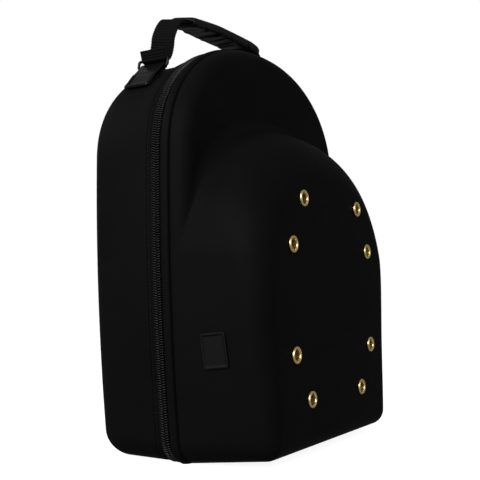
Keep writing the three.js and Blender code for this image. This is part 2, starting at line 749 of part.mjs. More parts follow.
// The slider closes the zipper low on the right side
const sliderPiece = addPiece('zipper_slider', slider(), BLACK_METAL);
const sliderX = HALF_WIDTH - FOOT_NARROWING * ((SHOULDER_Z - SLIDER.z) / SHOULDER_Z) ** 2;
const sliderLean = Math.atan((2 * FOOT_NARROWING * (SHOULDER_Z - SLIDER.z)) / SHOULDER_Z ** 2);
sliderPiece.position.set(sliderX, TAPE_MEETING_Y, SLIDER.z);
sliderPiece.rotation.y = sliderLean;

// Eyelets, each along the dome's own outward direction
eyeletSeats().forEach(({ place, normal }, i) => {
  const piece = addPiece(`eyelet_${i + 1}`, eyelet(), BRASS);
  piece.position.copy(place);
  piece.quaternion.setFromUnitVectors(new THREE.Vector3(0, 1, 0), normal);
});

// The patch lies on the left side wall, turned a little in its own plane
const patchInset = Math.tan(DRAFT) * PATCH.depth;
const patchSideX = HALF_WIDTH - FOOT_NARROWING * ((SHOULDER_Z - PATCH.z) / SHOULDER_Z) ** 2;
const patchSeat = frontPoint(patchInset - patchSideX, PATCH.z);
const patchPiece = addPiece('side_patch', sidePatch(), BLACK_RUBBER);
const patchUp = new THREE.Vector3(0, 0, 1).projectOnPlane(patchSeat.normal).normalize();
const patchAlong = patchUp.clone().cross(patchSeat.normal);
patchPiece.matrix.makeBasis(patchSeat.normal, patchAlong, patchUp).setPosition(patchSeat.place);
patchPiece.matrix.decompose(patchPiece.position, patchPiece.quaternion, patchPiece.scale);
patchPiece.rotateX(PATCH_TURN);

addPiece('handle_webbing', handleWebbing(), BLACK_WEBBING);
addPiece('handle_grip', handleGrip(), BLACK_WEBBING);
for (const [name, side] of [['near', -1], ['far', 1]]) {
  addPiece(`ring_${name}`, wireRing(side), BLACK_METAL);
  addPiece(`tab_${name}`, tab(side), BLACK_GLOSS);
}

// The middle of the whole depth comes over the origin
const depthBox = new THREE.Box3().setFromObject(carrier);
carrier.position.y = -(depthBox.min.y + depthBox.max.y) / 2;

const root = new THREE.Group();
root.add(carrier);

export default root;
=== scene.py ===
"""Looks of the cap carrier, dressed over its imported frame.

Sizes are in millimetres and move into the frame's metres when a piece is made. +Z is up and the front
faces -Y. A depth y is measured from the front shell's rim, where the frame's own depth is RIM_DEPTH.
"""

import math

import bmesh
import bpy
import numpy as np
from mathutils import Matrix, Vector


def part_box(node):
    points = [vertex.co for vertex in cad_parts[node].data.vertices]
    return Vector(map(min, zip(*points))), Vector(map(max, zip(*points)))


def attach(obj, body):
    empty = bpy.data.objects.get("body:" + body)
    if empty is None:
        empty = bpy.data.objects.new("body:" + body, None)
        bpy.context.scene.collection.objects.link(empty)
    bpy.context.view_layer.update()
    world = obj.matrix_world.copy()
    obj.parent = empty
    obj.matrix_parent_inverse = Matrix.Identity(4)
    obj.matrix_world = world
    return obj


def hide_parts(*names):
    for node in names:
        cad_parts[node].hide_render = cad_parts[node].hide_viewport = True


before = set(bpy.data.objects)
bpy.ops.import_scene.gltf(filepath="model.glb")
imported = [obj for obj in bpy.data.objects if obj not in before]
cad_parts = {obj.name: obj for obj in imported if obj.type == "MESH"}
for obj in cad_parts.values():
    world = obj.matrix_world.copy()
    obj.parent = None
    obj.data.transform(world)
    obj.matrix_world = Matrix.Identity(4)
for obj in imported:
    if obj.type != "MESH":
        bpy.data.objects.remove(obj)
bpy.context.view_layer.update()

MM = 0.001
GAP = 0.3
RIM_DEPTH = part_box("rim_bead")[0].y / MM - GAP

# Camera, fitted to the case's outline and the eyelets
CAMERA_PLACE = (-606.6, -349.7, 130.7)
CAMERA_HEADING = math.radians(58.772)
CAMERA_PITCH = math.radians(3.5)
CAMERA_LENS = 60.45
CAMERA_SENSOR = 36.0

# Outline of the case where the shells meet, seen from the front
HEIGHT = 334.0
HALF_WIDTH = 131.4
SHOULDER_Z = 234.5
FOOT_NARROWING = 16.8
FOOT_RADIUS = 22.0
SMALLEST_FOOT_RADIUS = 7.0
ARCH_POWER = 2.14
COLUMNS = {"bottom": 14, "corner": 14, "side": 48, "arch": 66}
FINE = {"bottom": 4, "corner": 40, "side": 60, "arch": 150}

# Both shells
WALL = 4.0
RIM_ROUND = 1.5
FRONT_RIM_INSET = 2.6
RIM_STEPS = 5

# Front shell: a shallow tray, the ledge, with a deeper dome standing out of it
DRAFT = math.radians(7)
LEDGE_DEPTH = 13.9
LEDGE_RADIUS = 11.5
DOME_DEPTH = 73.3
DOME_DEPTH_Z = 100.0
DOME_LEAN = 0.03
DOME_TOP_Z = 266.0
DOME_SPRING_Z = 129.0
DOME_HALF_WIDTH = 131.2
DOME_POWER = 2.34
DOME_FOOT_RADIUS = 14.0
DOME_FOOT_BLEND_Z = 100.0
DOME_SIDE_RADIUS = 21.5
DOME_TOP_RADIUS = 52.0
DOME_BLEND_Z = 130.0
CREASE_RADIUS = 12.0
CREASE_FADE = 25.0
SPINE_LOW_Z = 95.0
SPINE_HIGH_Z = 195.0
SPINE_REACH = 0.985
LINE_SAMPLES = 110
OUTER_ROWS = 80
INNER_ROWS = 24
BEND_WEIGHT = 42.0
EVENED_LINES = 6

# Back shell: a plain tray with a rounded rear edge and a lower arch behind its rim
BACK_RIM_Y = 21.0
BACK_REAR_Y = 84.0
BACK_EDGE_RADIUS = 26.0
BACK_DRAFT = math.radians(1.2)
BACK_DROP_RIM = 2.5
BACK_DROP_BEHIND = 6.5
BACK_DROP_REACH = 15.0
BACK_SIDE_ROWS = 16
BACK_EDGE_ROWS = 16
BACK_FACE_ROWS = 8
BACK_INNER_ROWS = {"side": 5, "edge": 6, "face": 3}

# Bead and zipper between the shells. An offset is measured outwards from the outline.
BEAD_Y = 3.8
BEAD_HALF_WIDTH = 3.5
BEAD_OFFSET = -0.9
BEAD_HALF_HEIGHT = 2.7
BEAD_SEAT = 1.7
TAPE_MEETING_Y = 12.1
TAPE_RAISED = -1.3
TAPE_LOW = -3.3
BACK_TAPE_LOW = -0.4
TAPE_THICKNESS = 0.7
TAPE_STEPS = 18
FRONT_TAPE_RISE = (6.6, 8.3)
BACK_TAPE_RISE = (19.2, 17.2)
TOOTH_PITCH = 1.86
TOOTH_LENGTH = 3.9
TOOTH_REACH = 3.75
TOOTH_OFFSET = -0.25
TOOTH_FLOOR = 1.2
TOOTH_SLANT = math.radians(10)
STITCH_PITCH = 3.2
STITCH_LENGTH = 0.75 * STITCH_PITCH
STITCH_RADIUS = 0.32
STITCH_LIFT = 0.1
STITCH_ROW_Y = 19.3
HINGE = {"half_length": 80.0, "low": 1.5, "high": 3.0, "front": 7.6, "rear": 20.7}
HINGE_MARGIN = 10.0
HINGE_STEPS = 60

# Stations of a tooth: share of its length, half width and half height
TOOTH_STATIONS = [
    (0.0, 0.25, 0.3), (0.08, 0.5, 0.8), (0.4, 0.58, 1.02), (0.75, 0.66, 1.0), (0.93, 0.5, 0.75),
    (1.0, 0.2, 0.3),
]

# Stations of a stitch: shares of its length and of its radius
STITCH_STATIONS = [(-0.5, 0.2), (-0.4, 0.8), (0.0, 1.0), (0.4, 0.8), (0.5, 0.2)]

# Slider, with its plate's stations: place along the zipper, half width and half height
PLATE_STATIONS = [
    (-7.0, 2.6, 0.7), (-6.4, 3.4, 1.1), (-2.0, 4.0, 1.3), (3.0, 4.8, 1.3), (6.2, 4.4, 1.1),
    (7.0, 3.4, 0.7),
]
PLATE_HEIGHT = 2.4
BRIDGE = {"foot": 3.1, "rise": 1.5, "half_length": 4.6, "half_width": 1.3, "half_thick": 0.45}
PULL = {"top": 2.0, "straight": -22.0, "end": -26.0, "neck": 2.1, "widening": 1.9, "half_thick": 0.75}
PULL_WIDENING_Z = (2.0, 9.0)
PULL_LIFT = {"low": 3.3, "more": 0.5, "from": -6.0}
SLIDER_Z = 105.0

# Vent eyelets on the dome: places on the right half, each with its mirror image
EYELET_PLACES = [(51.5, 201.0), (71.5, 164.5), (71.5, 82.0), (48.0, 47.0)]
EYELET_FLANGE = 6.6
EYELET_BORE = 4.4
EYELET_CROWN = 1.9
EYELET_HOLE = 5.2
EYELET_SIDES = 48
EYELET_ROLL_HEIGHT = 0.5
EYELET_END = -5.9
EYELET_BACK = [(6.5, 0.3), (5.0, 0.3), (4.95, -5.2), (5.9, -5.25), (6.0, -5.6), (5.9, EYELET_END)]
DRILL_REACH = 12

# Rubber patch on the left side wall
PATCH = {"z": 87.0, "depth": 32.7, "width": 20.0, "height": 26.0, "corner": 1.8, "border": 1.9}
PATCH_FLOOR = 0.8
PATCH_RIM = 1.7
PATCH_TURN = math.radians(6)

# Carry handle over the back shell
STRAP_Y = 48.5
STRAP_WIDTH = 24.0
STRAP_THICKNESS = 2.0
RIB_PITCH = 2.45
RIB_HEIGHT = 0.8
GROOVE_POWER = 0.5
GROOVE_EDGE_SHARE = 0.7
END_RIBS = {"share": 0.4, "from": 9.0, "to": 18.0}
END_SQUEEZE = {"depth": 0.6, "place": 13.0, "reach": 5.0}
STRAP_ROUTE = [
    (-78.8, 322.6), (-76.0, 328.0), (-74.5, 334.0), (-73.6, 340.0), (-71.3, 345.6), (-67.2, 352.5),
    (-61.0, 358.8), (-52.6, 360.8), (-40.0, 362.4), (-9.0, 363.9), (20.0, 364.5), (44.0, 364.6),
    (55.0, 364.1), (65.0, 361.6), (71.0, 355.5), (73.3, 347.0), (74.4, 338.0), (75.8, 329.0),
    (78.8, 322.6),
]
STRAP_TURN = [
    (4.2, 7.6), (3.6, 5.4), (3.0, 3.2), (2.4, 1.0), (2.1, -0.8), (1.2, -2.0), (-0.2, -2.3),
    (-1.6, -1.9), (-2.6, -0.9), (-3.2, 0.2),
]
STRAP_STEP = 0.3
GRIP = {"start": -46.5, "end": 65.5, "width": 27.5, "thickness": 9.6}
GRIP_END = {"round": 5.0, "half_thick": 1.5, "half_width": 12.5}
GRIP_LOW_Z = 350.0
GRIP_STEP = 0.6
GRIP_SIDES = 72
FOLDS = 26
FOLD_SEED = 11
FOLD_LIMITS = (-1.6, 0.7)
FOLD_RIDGE = {"share": 0.45, "place": 1.7}
LEG_ROLL = 0.17
LEG_ROLL_Z = (315.0, 323.0)
LEG_ROLL_X = (-50.0, 0.0)

# Rings and tabs that hold the handle on the shell's shoulders
TAB_LOW_X = 107.5
TAB_FLAT_X = 104.0
TAB_RISE = 4.5
TAB_TOP_X = 91.0
TAB_STEP = 0.35
TAB_HEM = 2.8
TAB_HEM_HEIGHT = 1.1
TAB_SEAM_DEPTH = 0.4
TAB_SEAM_WIDTH = 0.5
TAB_CORNER = 1.6
TAB_REACH = 19.0
TAB_LAYER = 1.1
TAB_STITCH = {"pitch": 2.6, "length": 1.9, "radius": 0.3}
BAR_X = 83.6
BAR_LIFT = 2.1
WIRE_RADIUS = 1.2
WIRE_PLAY = 0.3
RING_WIDTH = 29.4
RING_SHIFT = 1.2
RING_SPAN = 6.3
RING_CORNER = 1.6
RING_LEAN = math.radians(10)

# Materials
BLUE_TRACE = 1.06
PATCHY_SHARE = 0.7
RAMP_ENDS = (0.25, 0.8)
WEAR_SCALE = 160.0

# Light and floor, in metres and watts
LIGHTS = {
    "key": ((-1.38, 0.22, 0.95), 11.8),
    "left": ((-1.4, 0.22, 0.3), 5.8),
    "near": ((-1.2, -0.7, 0.7), 15.0),
    "front": ((0.25, -1.5, 0.5), 2.0),
    "behind": ((-0.5, 1.2, 1.0), 3.3),
}
LIGHT_SIZE = 0.7
LIGHT_AIM = (0, 0, 0.2)
ROOM_LIGHT = 0.23
BACKDROP_LIGHT = 1.0
FLOOR_REACH = 40.0
FLOOR_GLOW = 0.9


# Shapes and paths


def smoothstep(value, low, high):
    part = np.clip((value - low) / (high - low), 0, 1)
    return part * part * (3 - 2 * part)


def side_x(z, half_width=HALF_WIDTH):
    """Where the case's side lies below its shoulder."""
    return half_width - FOOT_NARROWING * ((SHOULDER_Z - z) / SHOULDER_Z) ** 2


def side_lean(z):
    """How far the case's side leans there."""
    return math.atan(2 * FOOT_NARROWING * (SHOULDER_Z - z) / SHOULDER_Z**2)


def half_outline(inset, floor, steps, drop=0.0):
    """Right half of the case's outline in x and z, from the bottom middle up to the top."""
    half_width = HALF_WIDTH - inset
    rise = HEIGHT - SHOULDER_Z - inset - drop
    radius = max(FOOT_RADIUS - inset, SMALLEST_FOOT_RADIUS)
    lean = side_lean(floor + radius)
    corner_top = floor + radius * (1 - math.sin(lean))
    corner_x = side_x(corner_top, half_width) - radius * math.cos(lean)
    bottom_x = np.linspace(0, corner_x, steps["bottom"], endpoint=False)
    angles = np.linspace(-math.pi / 2, -lean, steps["corner"] + 1)
    side_z = np.linspace(corner_top, SHOULDER_Z, steps["side"] + 1)[1:]
    turn = np.linspace(0, math.pi / 2, steps["arch"] + 1)[1:]
    arch_x = half_width * np.maximum(np.cos(turn), 0) ** (2 / ARCH_POWER)
    arch_z = SHOULDER_Z + rise * np.sin(turn) ** (2 / ARCH_POWER)
    bottom_z = np.full(len(bottom_x), floor)
    x = np.concatenate([bottom_x, corner_x + radius * np.cos(angles), side_x(side_z, half_width), arch_x])
    z = np.concatenate([bottom_z, floor + radius + radius * np.sin(angles), side_z, arch_z])
    x[-1] = 0
    return np.column_stack([x, z])


def outline(inset, floor, drop=0.0):
    """The whole outline: up the right side and down the left."""
    right = half_outline(inset, floor, COLUMNS, drop)
    left = right[-2:0:-1] * (-1, 1)
    return np.concatenate([right, left])


def outwards(points, closed=True):
    """Outward directions at the points of a path that runs up the right side and down the left."""
    if closed:
        along = np.roll(points, -1, axis=0) - np.roll(points, 1, axis=0)
    else:
        along = np.gradient(points, axis=0)
    along /= np.linalg.norm(along, axis=1)[:, None]
    return np.column_stack([along[:, 1], -along[:, 0]])


def distances(path):
    """How far along a path each of its points lies."""
    return np.concatenate([[0], np.cumsum(np.linalg.norm(np.diff(path, axis=0), axis=1))])


def path_length(path):
    return np.linalg.norm(np.diff(path, axis=0), axis=1).sum()


def along_evenly(path):
    """Distances along a path of even steps, from its start and from its nearer end."""
    along = np.linspace(0, path_length(path), len(path))
    return along, np.minimum(along, along[-1] - along)


def resampled(path, step):
    """The same path with its points a near-equal step apart."""
    lengths = distances(path)
    wanted = np.linspace(0, lengths[-1], max(int(round(lengths[-1] / step)), 2) + 1)
    return np.column_stack([np.interp(wanted, lengths, path[:, k]) for k in range(path.shape[1])])


def curve_through(points, steps=24):
    """A smooth curve through a row of points."""
    points = np.asarray(points, float)
    padded = np.concatenate([points[:1], points, points[-1:]])
    t = np.linspace(0, 1, steps, endpoint=False)[:, None]
    stretches = []
    for a, b, c, d in zip(padded, padded[1:], padded[2:], padded[3:]):
        leave = (c - a) / 2
        arrive = (d - b) / 2
        cubic = (2 * b - 2 * c + leave + arrive) * t**3
        square = (3 * c - 3 * b - 2 * leave - arrive) * t**2
        stretches.append(cubic + square + leave * t + b)
    return np.concatenate(stretches + [points[-1:]])


def distance_to_path(path, points):
    """Shortest distance from each point to a path of straight steps."""
    best = np.full(len(points), np.inf)
    for start, end in zip(path[:-1], path[1:]):
        step = end - start
        away = points - start
        along = np.clip(away @ step / (step @ step), 0, 1)
        best = np.minimum(best, ((away - along[:, None] * step) ** 2).sum(axis=1))
    return np.sqrt(best)


# Front shell's surface

RIM_PATH = half_outline(0, 0, FINE)


def dome_path():
    """The dome's own outline on the ledge: straight legs and an arched top."""
    turn = np.linspace(0, math.pi / 2, FINE["arch"] + 1)
    x = DOME_HALF_WIDTH * np.maximum(np.cos(turn), 0) ** (2 / DOME_POWER)
    z = DOME_SPRING_Z + (DOME_TOP_Z - DOME_SPRING_Z) * np.sin(turn) ** (2 / DOME_POWER)
    return np.concatenate([[(DOME_HALF_WIDTH, -HEIGHT)], np.column_stack([x, z])])


DOME_PATH = dome_path()


def dome_inset(points):
    """Distance inside the dome's outline, negative outside it."""
    distance = distance_to_path(DOME_PATH, points)
    across = points[:, 0] / DOME_HALF_WIDTH
    up = np.maximum(points[:, 1] - DOME_SPRING_Z, 0) / (DOME_TOP_Z - DOME_SPRING_Z)
    return np.where(across**DOME_POWER + up**DOME_POWER < 1, distance, -distance)


def wall_height(inset, height, radius):
    """How far a moulded wall stands out inside its outline: drafted, then a round edge, then flat."""
    rounded = np.minimum(radius, height)
    flat_start = (rounded + (height - rounded) * math.sin(DRAFT)) / math.cos(DRAFT)
    round_start = flat_start - rounded * math.cos(DRAFT)
    short = np.clip(flat_start - inset, 0, rounded)
    arc = height - rounded + np.sqrt(rounded**2 - short**2)
    return np.where(inset < round_start, inset / math.tan(DRAFT), np.where(inset < flat_start, arc, height))


def front_depth(x, z, wall=0.0):
    """Depth of the front shell at places in front view, on its outside (wall 0) or its inside."""
    points = np.column_stack([np.abs(x), z])
    from_rim = np.maximum(distance_to_path(RIM_PATH, points) - wall, 0)
    from_dome = np.minimum(dome_inset(points) - wall, from_rim)
    ledge = wall_height(from_rim, LEDGE_DEPTH - RIM_ROUND - wall, LEDGE_RADIUS - wall)
    foot = smoothstep(z, 0, DOME_FOOT_BLEND_Z)
    top = smoothstep(z, DOME_BLEND_Z, DOME_TOP_Z)
    side_radius = DOME_FOOT_RADIUS + (DOME_SIDE_RADIUS - DOME_FOOT_RADIUS) * foot
    radius = side_radius + (DOME_TOP_RADIUS - side_radius) * top - wall
    depth = DOME_DEPTH - DOME_LEAN * (z - DOME_DEPTH_Z) - RIM_ROUND - wall
    fillet = (CREASE_RADIUS + wall) * smoothstep(from_rim - from_dome, 0, CREASE_FADE)
    fillet_start = ((ledge + fillet) * math.sin(DRAFT) - fillet) / math.cos(DRAFT)
    into_fillet = np.clip(from_dome - fillet_start, 0, fillet)
    hollow = ledge + fillet - np.sqrt(np.maximum(fillet**2 - into_fillet**2, 0))
    dome = np.maximum(ledge, wall_height(from_dome, depth, radius))
    in_fillet = from_dome < fillet_start + fillet * math.cos(DRAFT)
    raised = np.where(from_dome <= fillet_start, ledge, np.where(in_fillet, hollow, dome))
    return RIM_ROUND + raised


def front_point(x, z, step=0.5):
    """Place and outward direction on the outside of the front shell."""
    xs = np.array([x, x + step, x - step, x, x])
    zs = np.array([z, z, z, z + step, z - step])
    depth = front_depth(xs, zs)
    normal = np.array([(depth[2] - depth[1]) / (2 * step), -1.0, (depth[4] - depth[3]) / (2 * step)])
    return np.array([x, -depth[0], z]), normal / np.linalg.norm(normal)


def front_rings(wall, rows):
    """Rings of points from the front shell's rim in to its middle, closer together where it bends."""
    rims = outline(wall, wall)
    middles = np.column_stack([np.zeros(len(rims)), np.clip(rims[:, 1], SPINE_LOW_Z, SPINE_HIGH_Z)])

    def placed(reach):
        places = rims[:, None] + (middles - rims)[:, None] * (SPINE_REACH * reach**2)[..., None]
        flat = places.reshape(-1, 2)
        depth = front_depth(flat[:, 0], flat[:, 1], wall).reshape(places.shape[:2])
        return np.stack([places[..., 0], -depth, places[..., 1]], axis=2)

    samples = np.linspace(0, 1, LINE_SAMPLES + 1)
    steps = np.diff(placed(np.tile(samples, (len(rims), 1))), axis=1)
    lengths = np.linalg.norm(steps, axis=2)
    turned = (steps[:, 1:] * steps[:, :-1]).sum(axis=2) / (lengths[:, 1:] * lengths[:, :-1])
    bends = np.arccos(np.clip(turned, -1, 1))
    shares = lengths.copy()
    shares[:, :-1] += BEND_WEIGHT * bends
    shares = np.concatenate([np.zeros((len(rims), 1)), np.cumsum(shares, axis=1)], axis=1)
    shares /= shares[:, -1:]
    for _ in range(2):
        shifts = range(-EVENED_LINES, EVENED_LINES + 1)
        shares = np.mean([np.roll(shares, shift, axis=0) for shift in shifts], axis=0)
    wanted = np.linspace(0, 1, rows)
    reach = np.stack([np.interp(wanted, own, samples) for own in shares])
    return placed(reach).transpose(1, 0, 2)


# Meshes


def ring_faces(rows, count, closed=False):
    """Four-cornered faces between neighbouring rings of a body."""
    faces = []
    for row in range(rows if closed else rows - 1):
        after = (row + 1) % rows
        for i in range(count):
            j = (i + 1) % count
            faces.append((row * count + i, row * count + j, after * count + j, after * count + i))
    return faces


def strip_cap(first, count):
    """Faces across the middle of a ring that mirrors itself left and right."""
    half = count // 2
    faces = [(first, first + 1, first + count - 1)]
    for i in range(1, half - 1):
        faces.append((first + i, first + i + 1, first + count - i - 1, first + count - i))
    faces.append((first + half - 1, first + half, first + half + 1))
    return faces


def swept(rings, closed=False):
    """Points and faces of a body through a row of rings, its open ends closed."""
    rows, count = rings.shape[:2]
    faces = ring_faces(rows, count, closed)
    if not closed:
        faces.append(tuple(range(count)))
        faces.append(tuple(range((rows - 1) * count, rows * count)))
    return rings.reshape(-1, 3), faces


def joined(*bodies):
    """Several bodies as one list of points and faces."""
    points = []
    faces = []
    start = 0
    for body_points, body_faces in bodies:
        points.append(body_points)
        faces.extend(tuple(start + i for i in face) for face in body_faces)
        start += len(body_points)
    return np.concatenate(points), faces


def stamped(template, places, axes):
    """Copies of a small body, each at its place and along its own three directions."""
    points, faces = template
    placed = places[:, None, :] + np.einsum("pk,nkj->npj", points, axes)
    count = len(points)
    copies = [tuple(n * count + i for i in face) for n in range(len(places)) for face in faces]
    return placed.reshape(-1, 3), copies


def bar(stations, sides, closed=False):
    """A small rounded bar along x, from stations of (along, half width, half height)."""
    angles = np.linspace(0, 2 * math.pi, sides, endpoint=False)
    rings = [
        np.column_stack([np.full(sides, along), width * np.cos(angles), height * np.sin(angles)])
        for along, width, height in stations
    ]
    return swept(np.array(rings), closed)


def section(sides, squareness):
    """Points round a section whose sides bulge more or less square, from -1 to 1 both ways."""
    angles = np.linspace(0, 2 * math.pi, sides, endpoint=False)
    across = np.sign(np.cos(angles)) * np.abs(np.cos(angles)) ** squareness[0]
    up = np.sign(np.sin(angles)) * np.abs(np.sin(angles)) ** squareness[1]
    return across, up


def band_section(edge, count):
    """Points round a flat band from -1 to 1 both ways, its edges rounded over a share of its half width."""
    turn = np.linspace(0, math.pi / 2, 4)
    rounded = 1 - edge + edge * np.cos(turn)
    top = np.concatenate([rounded, np.linspace(1 - edge, edge - 1, count)[1:-1], -rounded[::-1]])
    beyond = np.clip((np.abs(top) - 1 + edge) / edge, 0, 1)
    up = np.sqrt(1 - beyond**2)
    return np.concatenate([top, top[-2:0:-1]]), np.concatenate([up, -up[-2:0:-1]])


def lifted(rings, path, lift):
    """The rings of a band, moved to the left of the path that it follows."""
    aside = outwards(path, closed=False)
    rings[..., 0] -= aside[:, None, 0] * lift
    rings[..., 2] -= aside[:, None, 1] * lift
    return rings


def ribbon(path, half_width, half_thick, shape, y=STRAP_Y):
    """Rings of a flat band that follows a path in x and z, its width lying across the depth."""
    across, up = shape
    half_thick = np.broadcast_to(half_thick, len(path))
    half_width = np.broadcast_to(half_width, len(path))
    rings = np.empty((len(path), len(across), 3))
    rings[..., 0] = path[:, None, 0]
    rings[..., 1] = y + half_width[:, None] * across[None, :]
    rings[..., 2] = path[:, None, 1]
    return lifted(rings, path, half_thick[:, None] * up[None, :])


def rim_band(path, normals, offsets, depths):
    """Rings of a section swept along the case's outline, kept above the floor."""
    offsets = np.broadcast_to(offsets, (len(path), len(depths)))
    rings = np.empty((len(path), len(depths), 3))
    rings[..., 0] = path[:, None, 0] + normals[:, None, 0] * offsets
    rings[..., 1] = depths
    rings[..., 2] = np.maximum(path[:, None, 1] + normals[:, None, 1] * offsets, 0)
    return rings


def capped(rings):
    """Points and faces of a shell through a row of rings, closed across its first and last ring."""
    rows, count = rings.shape[:2]
    faces = ring_faces(rows, count) + strip_cap(0, count) + strip_cap((rows - 1) * count, count)
    return rings.reshape(-1, 3), faces


def meshed(name, body, smooth):
    """A mesh in the frame's metres, its faces turned outwards."""
    points, faces = body
    mesh = bpy.data.meshes.new(name)
    mesh.from_pydata(((points + (0, RIM_DEPTH, 0)) * MM).tolist(), [], faces)
    shaped = bmesh.new()
    shaped.from_mesh(mesh)
    bmesh.ops.remove_doubles(shaped, verts=shaped.verts, dist=1e-7)
    bmesh.ops.recalc_face_normals(shaped, faces=shaped.faces)
    for face in shaped.faces:
        face.smooth = smooth
    shaped.to_mesh(mesh)
    shaped.free()
    return mesh


def linked(name, data):
    """A new object in the scene."""
    obj = bpy.data.objects.new(name, data)
    bpy.context.scene.collection.objects.link(obj)
    return obj


def add_piece(name, body, material, nodes, slot=None):
    """A new visible piece in place of its CAD nodes. The slot argument is not used."""
    mesh = meshed(name, body, smooth=True)
    mesh.materials.append(material)
    obj = linked(name, mesh)
    slot = slot or material.name.split(".")[0]
    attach(obj, "root")
    if nodes:
        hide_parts(*nodes)
    return obj


# Materials


def set_inputs(tree, made, inputs):
    """Put values, or other nodes' outputs, on a shader node's inputs."""
    for key, value in inputs.items():
        if isinstance(value, bpy.types.NodeSocket):
            tree.links.new(value, made.inputs[key])
        else:
            made.inputs[key].default_value = value


def node(tree, kind, inputs=None, **settings):
    """A shader node with its settings and inputs."""
    made = tree.nodes.new(kind)
    for key, value in settings.items():
        setattr(made, key, value)
    set_inputs(tree, made, inputs or {})
    return made


def math_node(tree, operation, first, second=0.0):
    return node(tree, "ShaderNodeMath", {0: first, 1: second}, operation=operation).outputs[0]


def texture(tree, kind, output, inputs, **settings):
    """A texture in the object's own metres."""
    place = node(tree, "ShaderNodeTexCoord").outputs["Object"]
    return node(tree, kind, {"Vector": place, **inputs}, **settings).outputs[output]


def noise(tree, scale):
    """Noise from 0 to 1."""
    return texture(tree, "ShaderNodeTexNoise", 0, {"Scale": scale, "Detail": 3.0})


def weave(tree, thread):
    """Height of a plain weave with threads this wide (mm), laid flat on whichever way a surface faces."""
    place = node(tree, "ShaderNodeTexCoord")
    inputs = {0: place.outputs["Object"], "Scale": math.pi / (thread * MM)}
    scaled = node(tree, "ShaderNodeVectorMath", inputs, operation="SCALE")
    split = node(tree, "ShaderNodeSeparateXYZ", {0: scaled.outputs[0]})
    waves = [math_node(tree, "SINE", split.outputs[k]) for k in range(3)]
    facing = node(tree, "ShaderNodeSeparateXYZ", {0: place.outputs["Normal"]})
    total = 0.0
    for k in range(3):
        share = math_node(tree, "MULTIPLY", facing.outputs[k], facing.outputs[k])
        crossed = math_node(tree, "MULTIPLY", waves[(k + 1) % 3], waves[(k + 2) % 3])
        total = math_node(tree, "ADD", math_node(tree, "MULTIPLY", share, crossed), total)
    return math_node(tree, "MULTIPLY_ADD", total, 0.5)


def grain(tree, scale):
    """Height of a pebbled grain, from 0 to 1."""
    return texture(tree, "ShaderNodeTexVoronoi", "Distance", {"Scale": scale})


def diagonal(tree, scale):
    """Height of a fine diagonal twill, from 0 to 1."""
    inputs = {"Scale": scale, "Distortion": 0.4}
    return texture(tree, "ShaderNodeTexWave", "Fac", inputs, bands_direction="DIAGONAL")


def new_material(name):
    """An empty material with its node tree and shader."""
    material = bpy.data.materials.new(name)
    material.use_nodes = True
    return material, material.node_tree, material.node_tree.nodes["Principled BSDF"]


def finished(name, colours, roughness, pattern, relief, uneven=24.0, **shader_values):
    """A material whose colour and roughness vary a little, with a fine relief (mm) in a sized pattern."""
    material, tree, shader = new_material(name)
    kind, size = pattern
    height = kind(tree, size)
    patchy = math_node(tree, "MULTIPLY", noise(tree, uneven), PATCHY_SHARE)
    mixed = math_node(tree, "ADD", patchy, math_node(tree, "MULTIPLY", height, 1 - PATCHY_SHARE))
    ramp = node(tree, "ShaderNodeValToRGB", {"Fac": mixed})
    for stop, position, colour in zip(ramp.color_ramp.elements, RAMP_ENDS, colours):
        stop.position = position
        stop.color = (*colour, 1)
    worn = node(tree, "ShaderNodeMapRange", {0: noise(tree, WEAR_SCALE), 3: roughness[0], 4: roughness[1]})
    bump = node(tree, "ShaderNodeBump", {"Height": height, "Strength": 1.0, "Distance": relief * MM})
    inputs = {"Base Color": ramp.outputs["Color"], "Roughness": worn.outputs[0], "Normal": bump.outputs[0]}
    set_inputs(tree, shader, {**inputs, **shader_values})
    return material


def black(name, shades, roughness, pattern, relief, specular):
    """A near-black material with a trace of blue."""
    colours = [(shade, shade, shade * BLUE_TRACE) for shade in shades]
    return finished(name, colours, roughness, pattern, relief, **{"Specular IOR Level": specular})


SHELL_CLOTH = black("shell_cloth", (0.0024, 0.0036), (0.52, 0.64), (weave, 0.8), 0.03, 0.02)
TAPE_CLOTH = black("zipper_tape", (0.002, 0.0035), (0.6, 0.75), (diagonal, 700.0), 0.06, 0.02)
COIL_NYLON = black("zipper_coil", (0.002, 0.0035), (0.22, 0.34), (noise, 900.0), 0.03, 0.2)
WEBBING = black("webbing", (0.0012, 0.002), (0.42, 0.55), (weave, 0.5), 0.05, 0.04)
GRIP_SATIN = black("grip_satin", (0.0025, 0.0045), (0.38, 0.5), (diagonal, 900.0), 0.04, 0.1)
RUBBER = black("rubber_patch", (0.002, 0.0035), (0.42, 0.55), (grain, 1600.0), 0.02, 0.08)
TAB_GLOSS = black("tab_gloss", (0.002, 0.004), (0.1, 0.18), (noise, 260.0), 0.3, 0.16)
BLACK_METAL = black("black_metal", (0.003, 0.005), (0.24, 0.38), (noise, 500.0), 0.02, 0.15)
BRASS = finished(
    "brass",
    ((0.80, 0.60, 0.24), (0.94, 0.75, 0.36)),
    (0.28, 0.42),
    (noise, 700.0),
    0.02,
    uneven=220.0,
    Metallic=1.0,
)
THREAD = black("thread", (0.003, 0.005), (0.5, 0.65), (diagonal, 1800.0), 0.05, 0.1)


# Shells


def hub_rings(ring, rows, y):
    """Rings from the edge of the rear face in to its middle."""
    z = np.clip(ring[:, 2], SPINE_LOW_Z, SPINE_HIGH_Z)
    middle = np.column_stack([np.zeros(len(ring)), np.full(len(ring), y), z])
    reach = np.linspace(0, SPINE_REACH, rows + 1)[1:]
    return ring[None] + (middle - ring)[None] * reach[:, None, None]


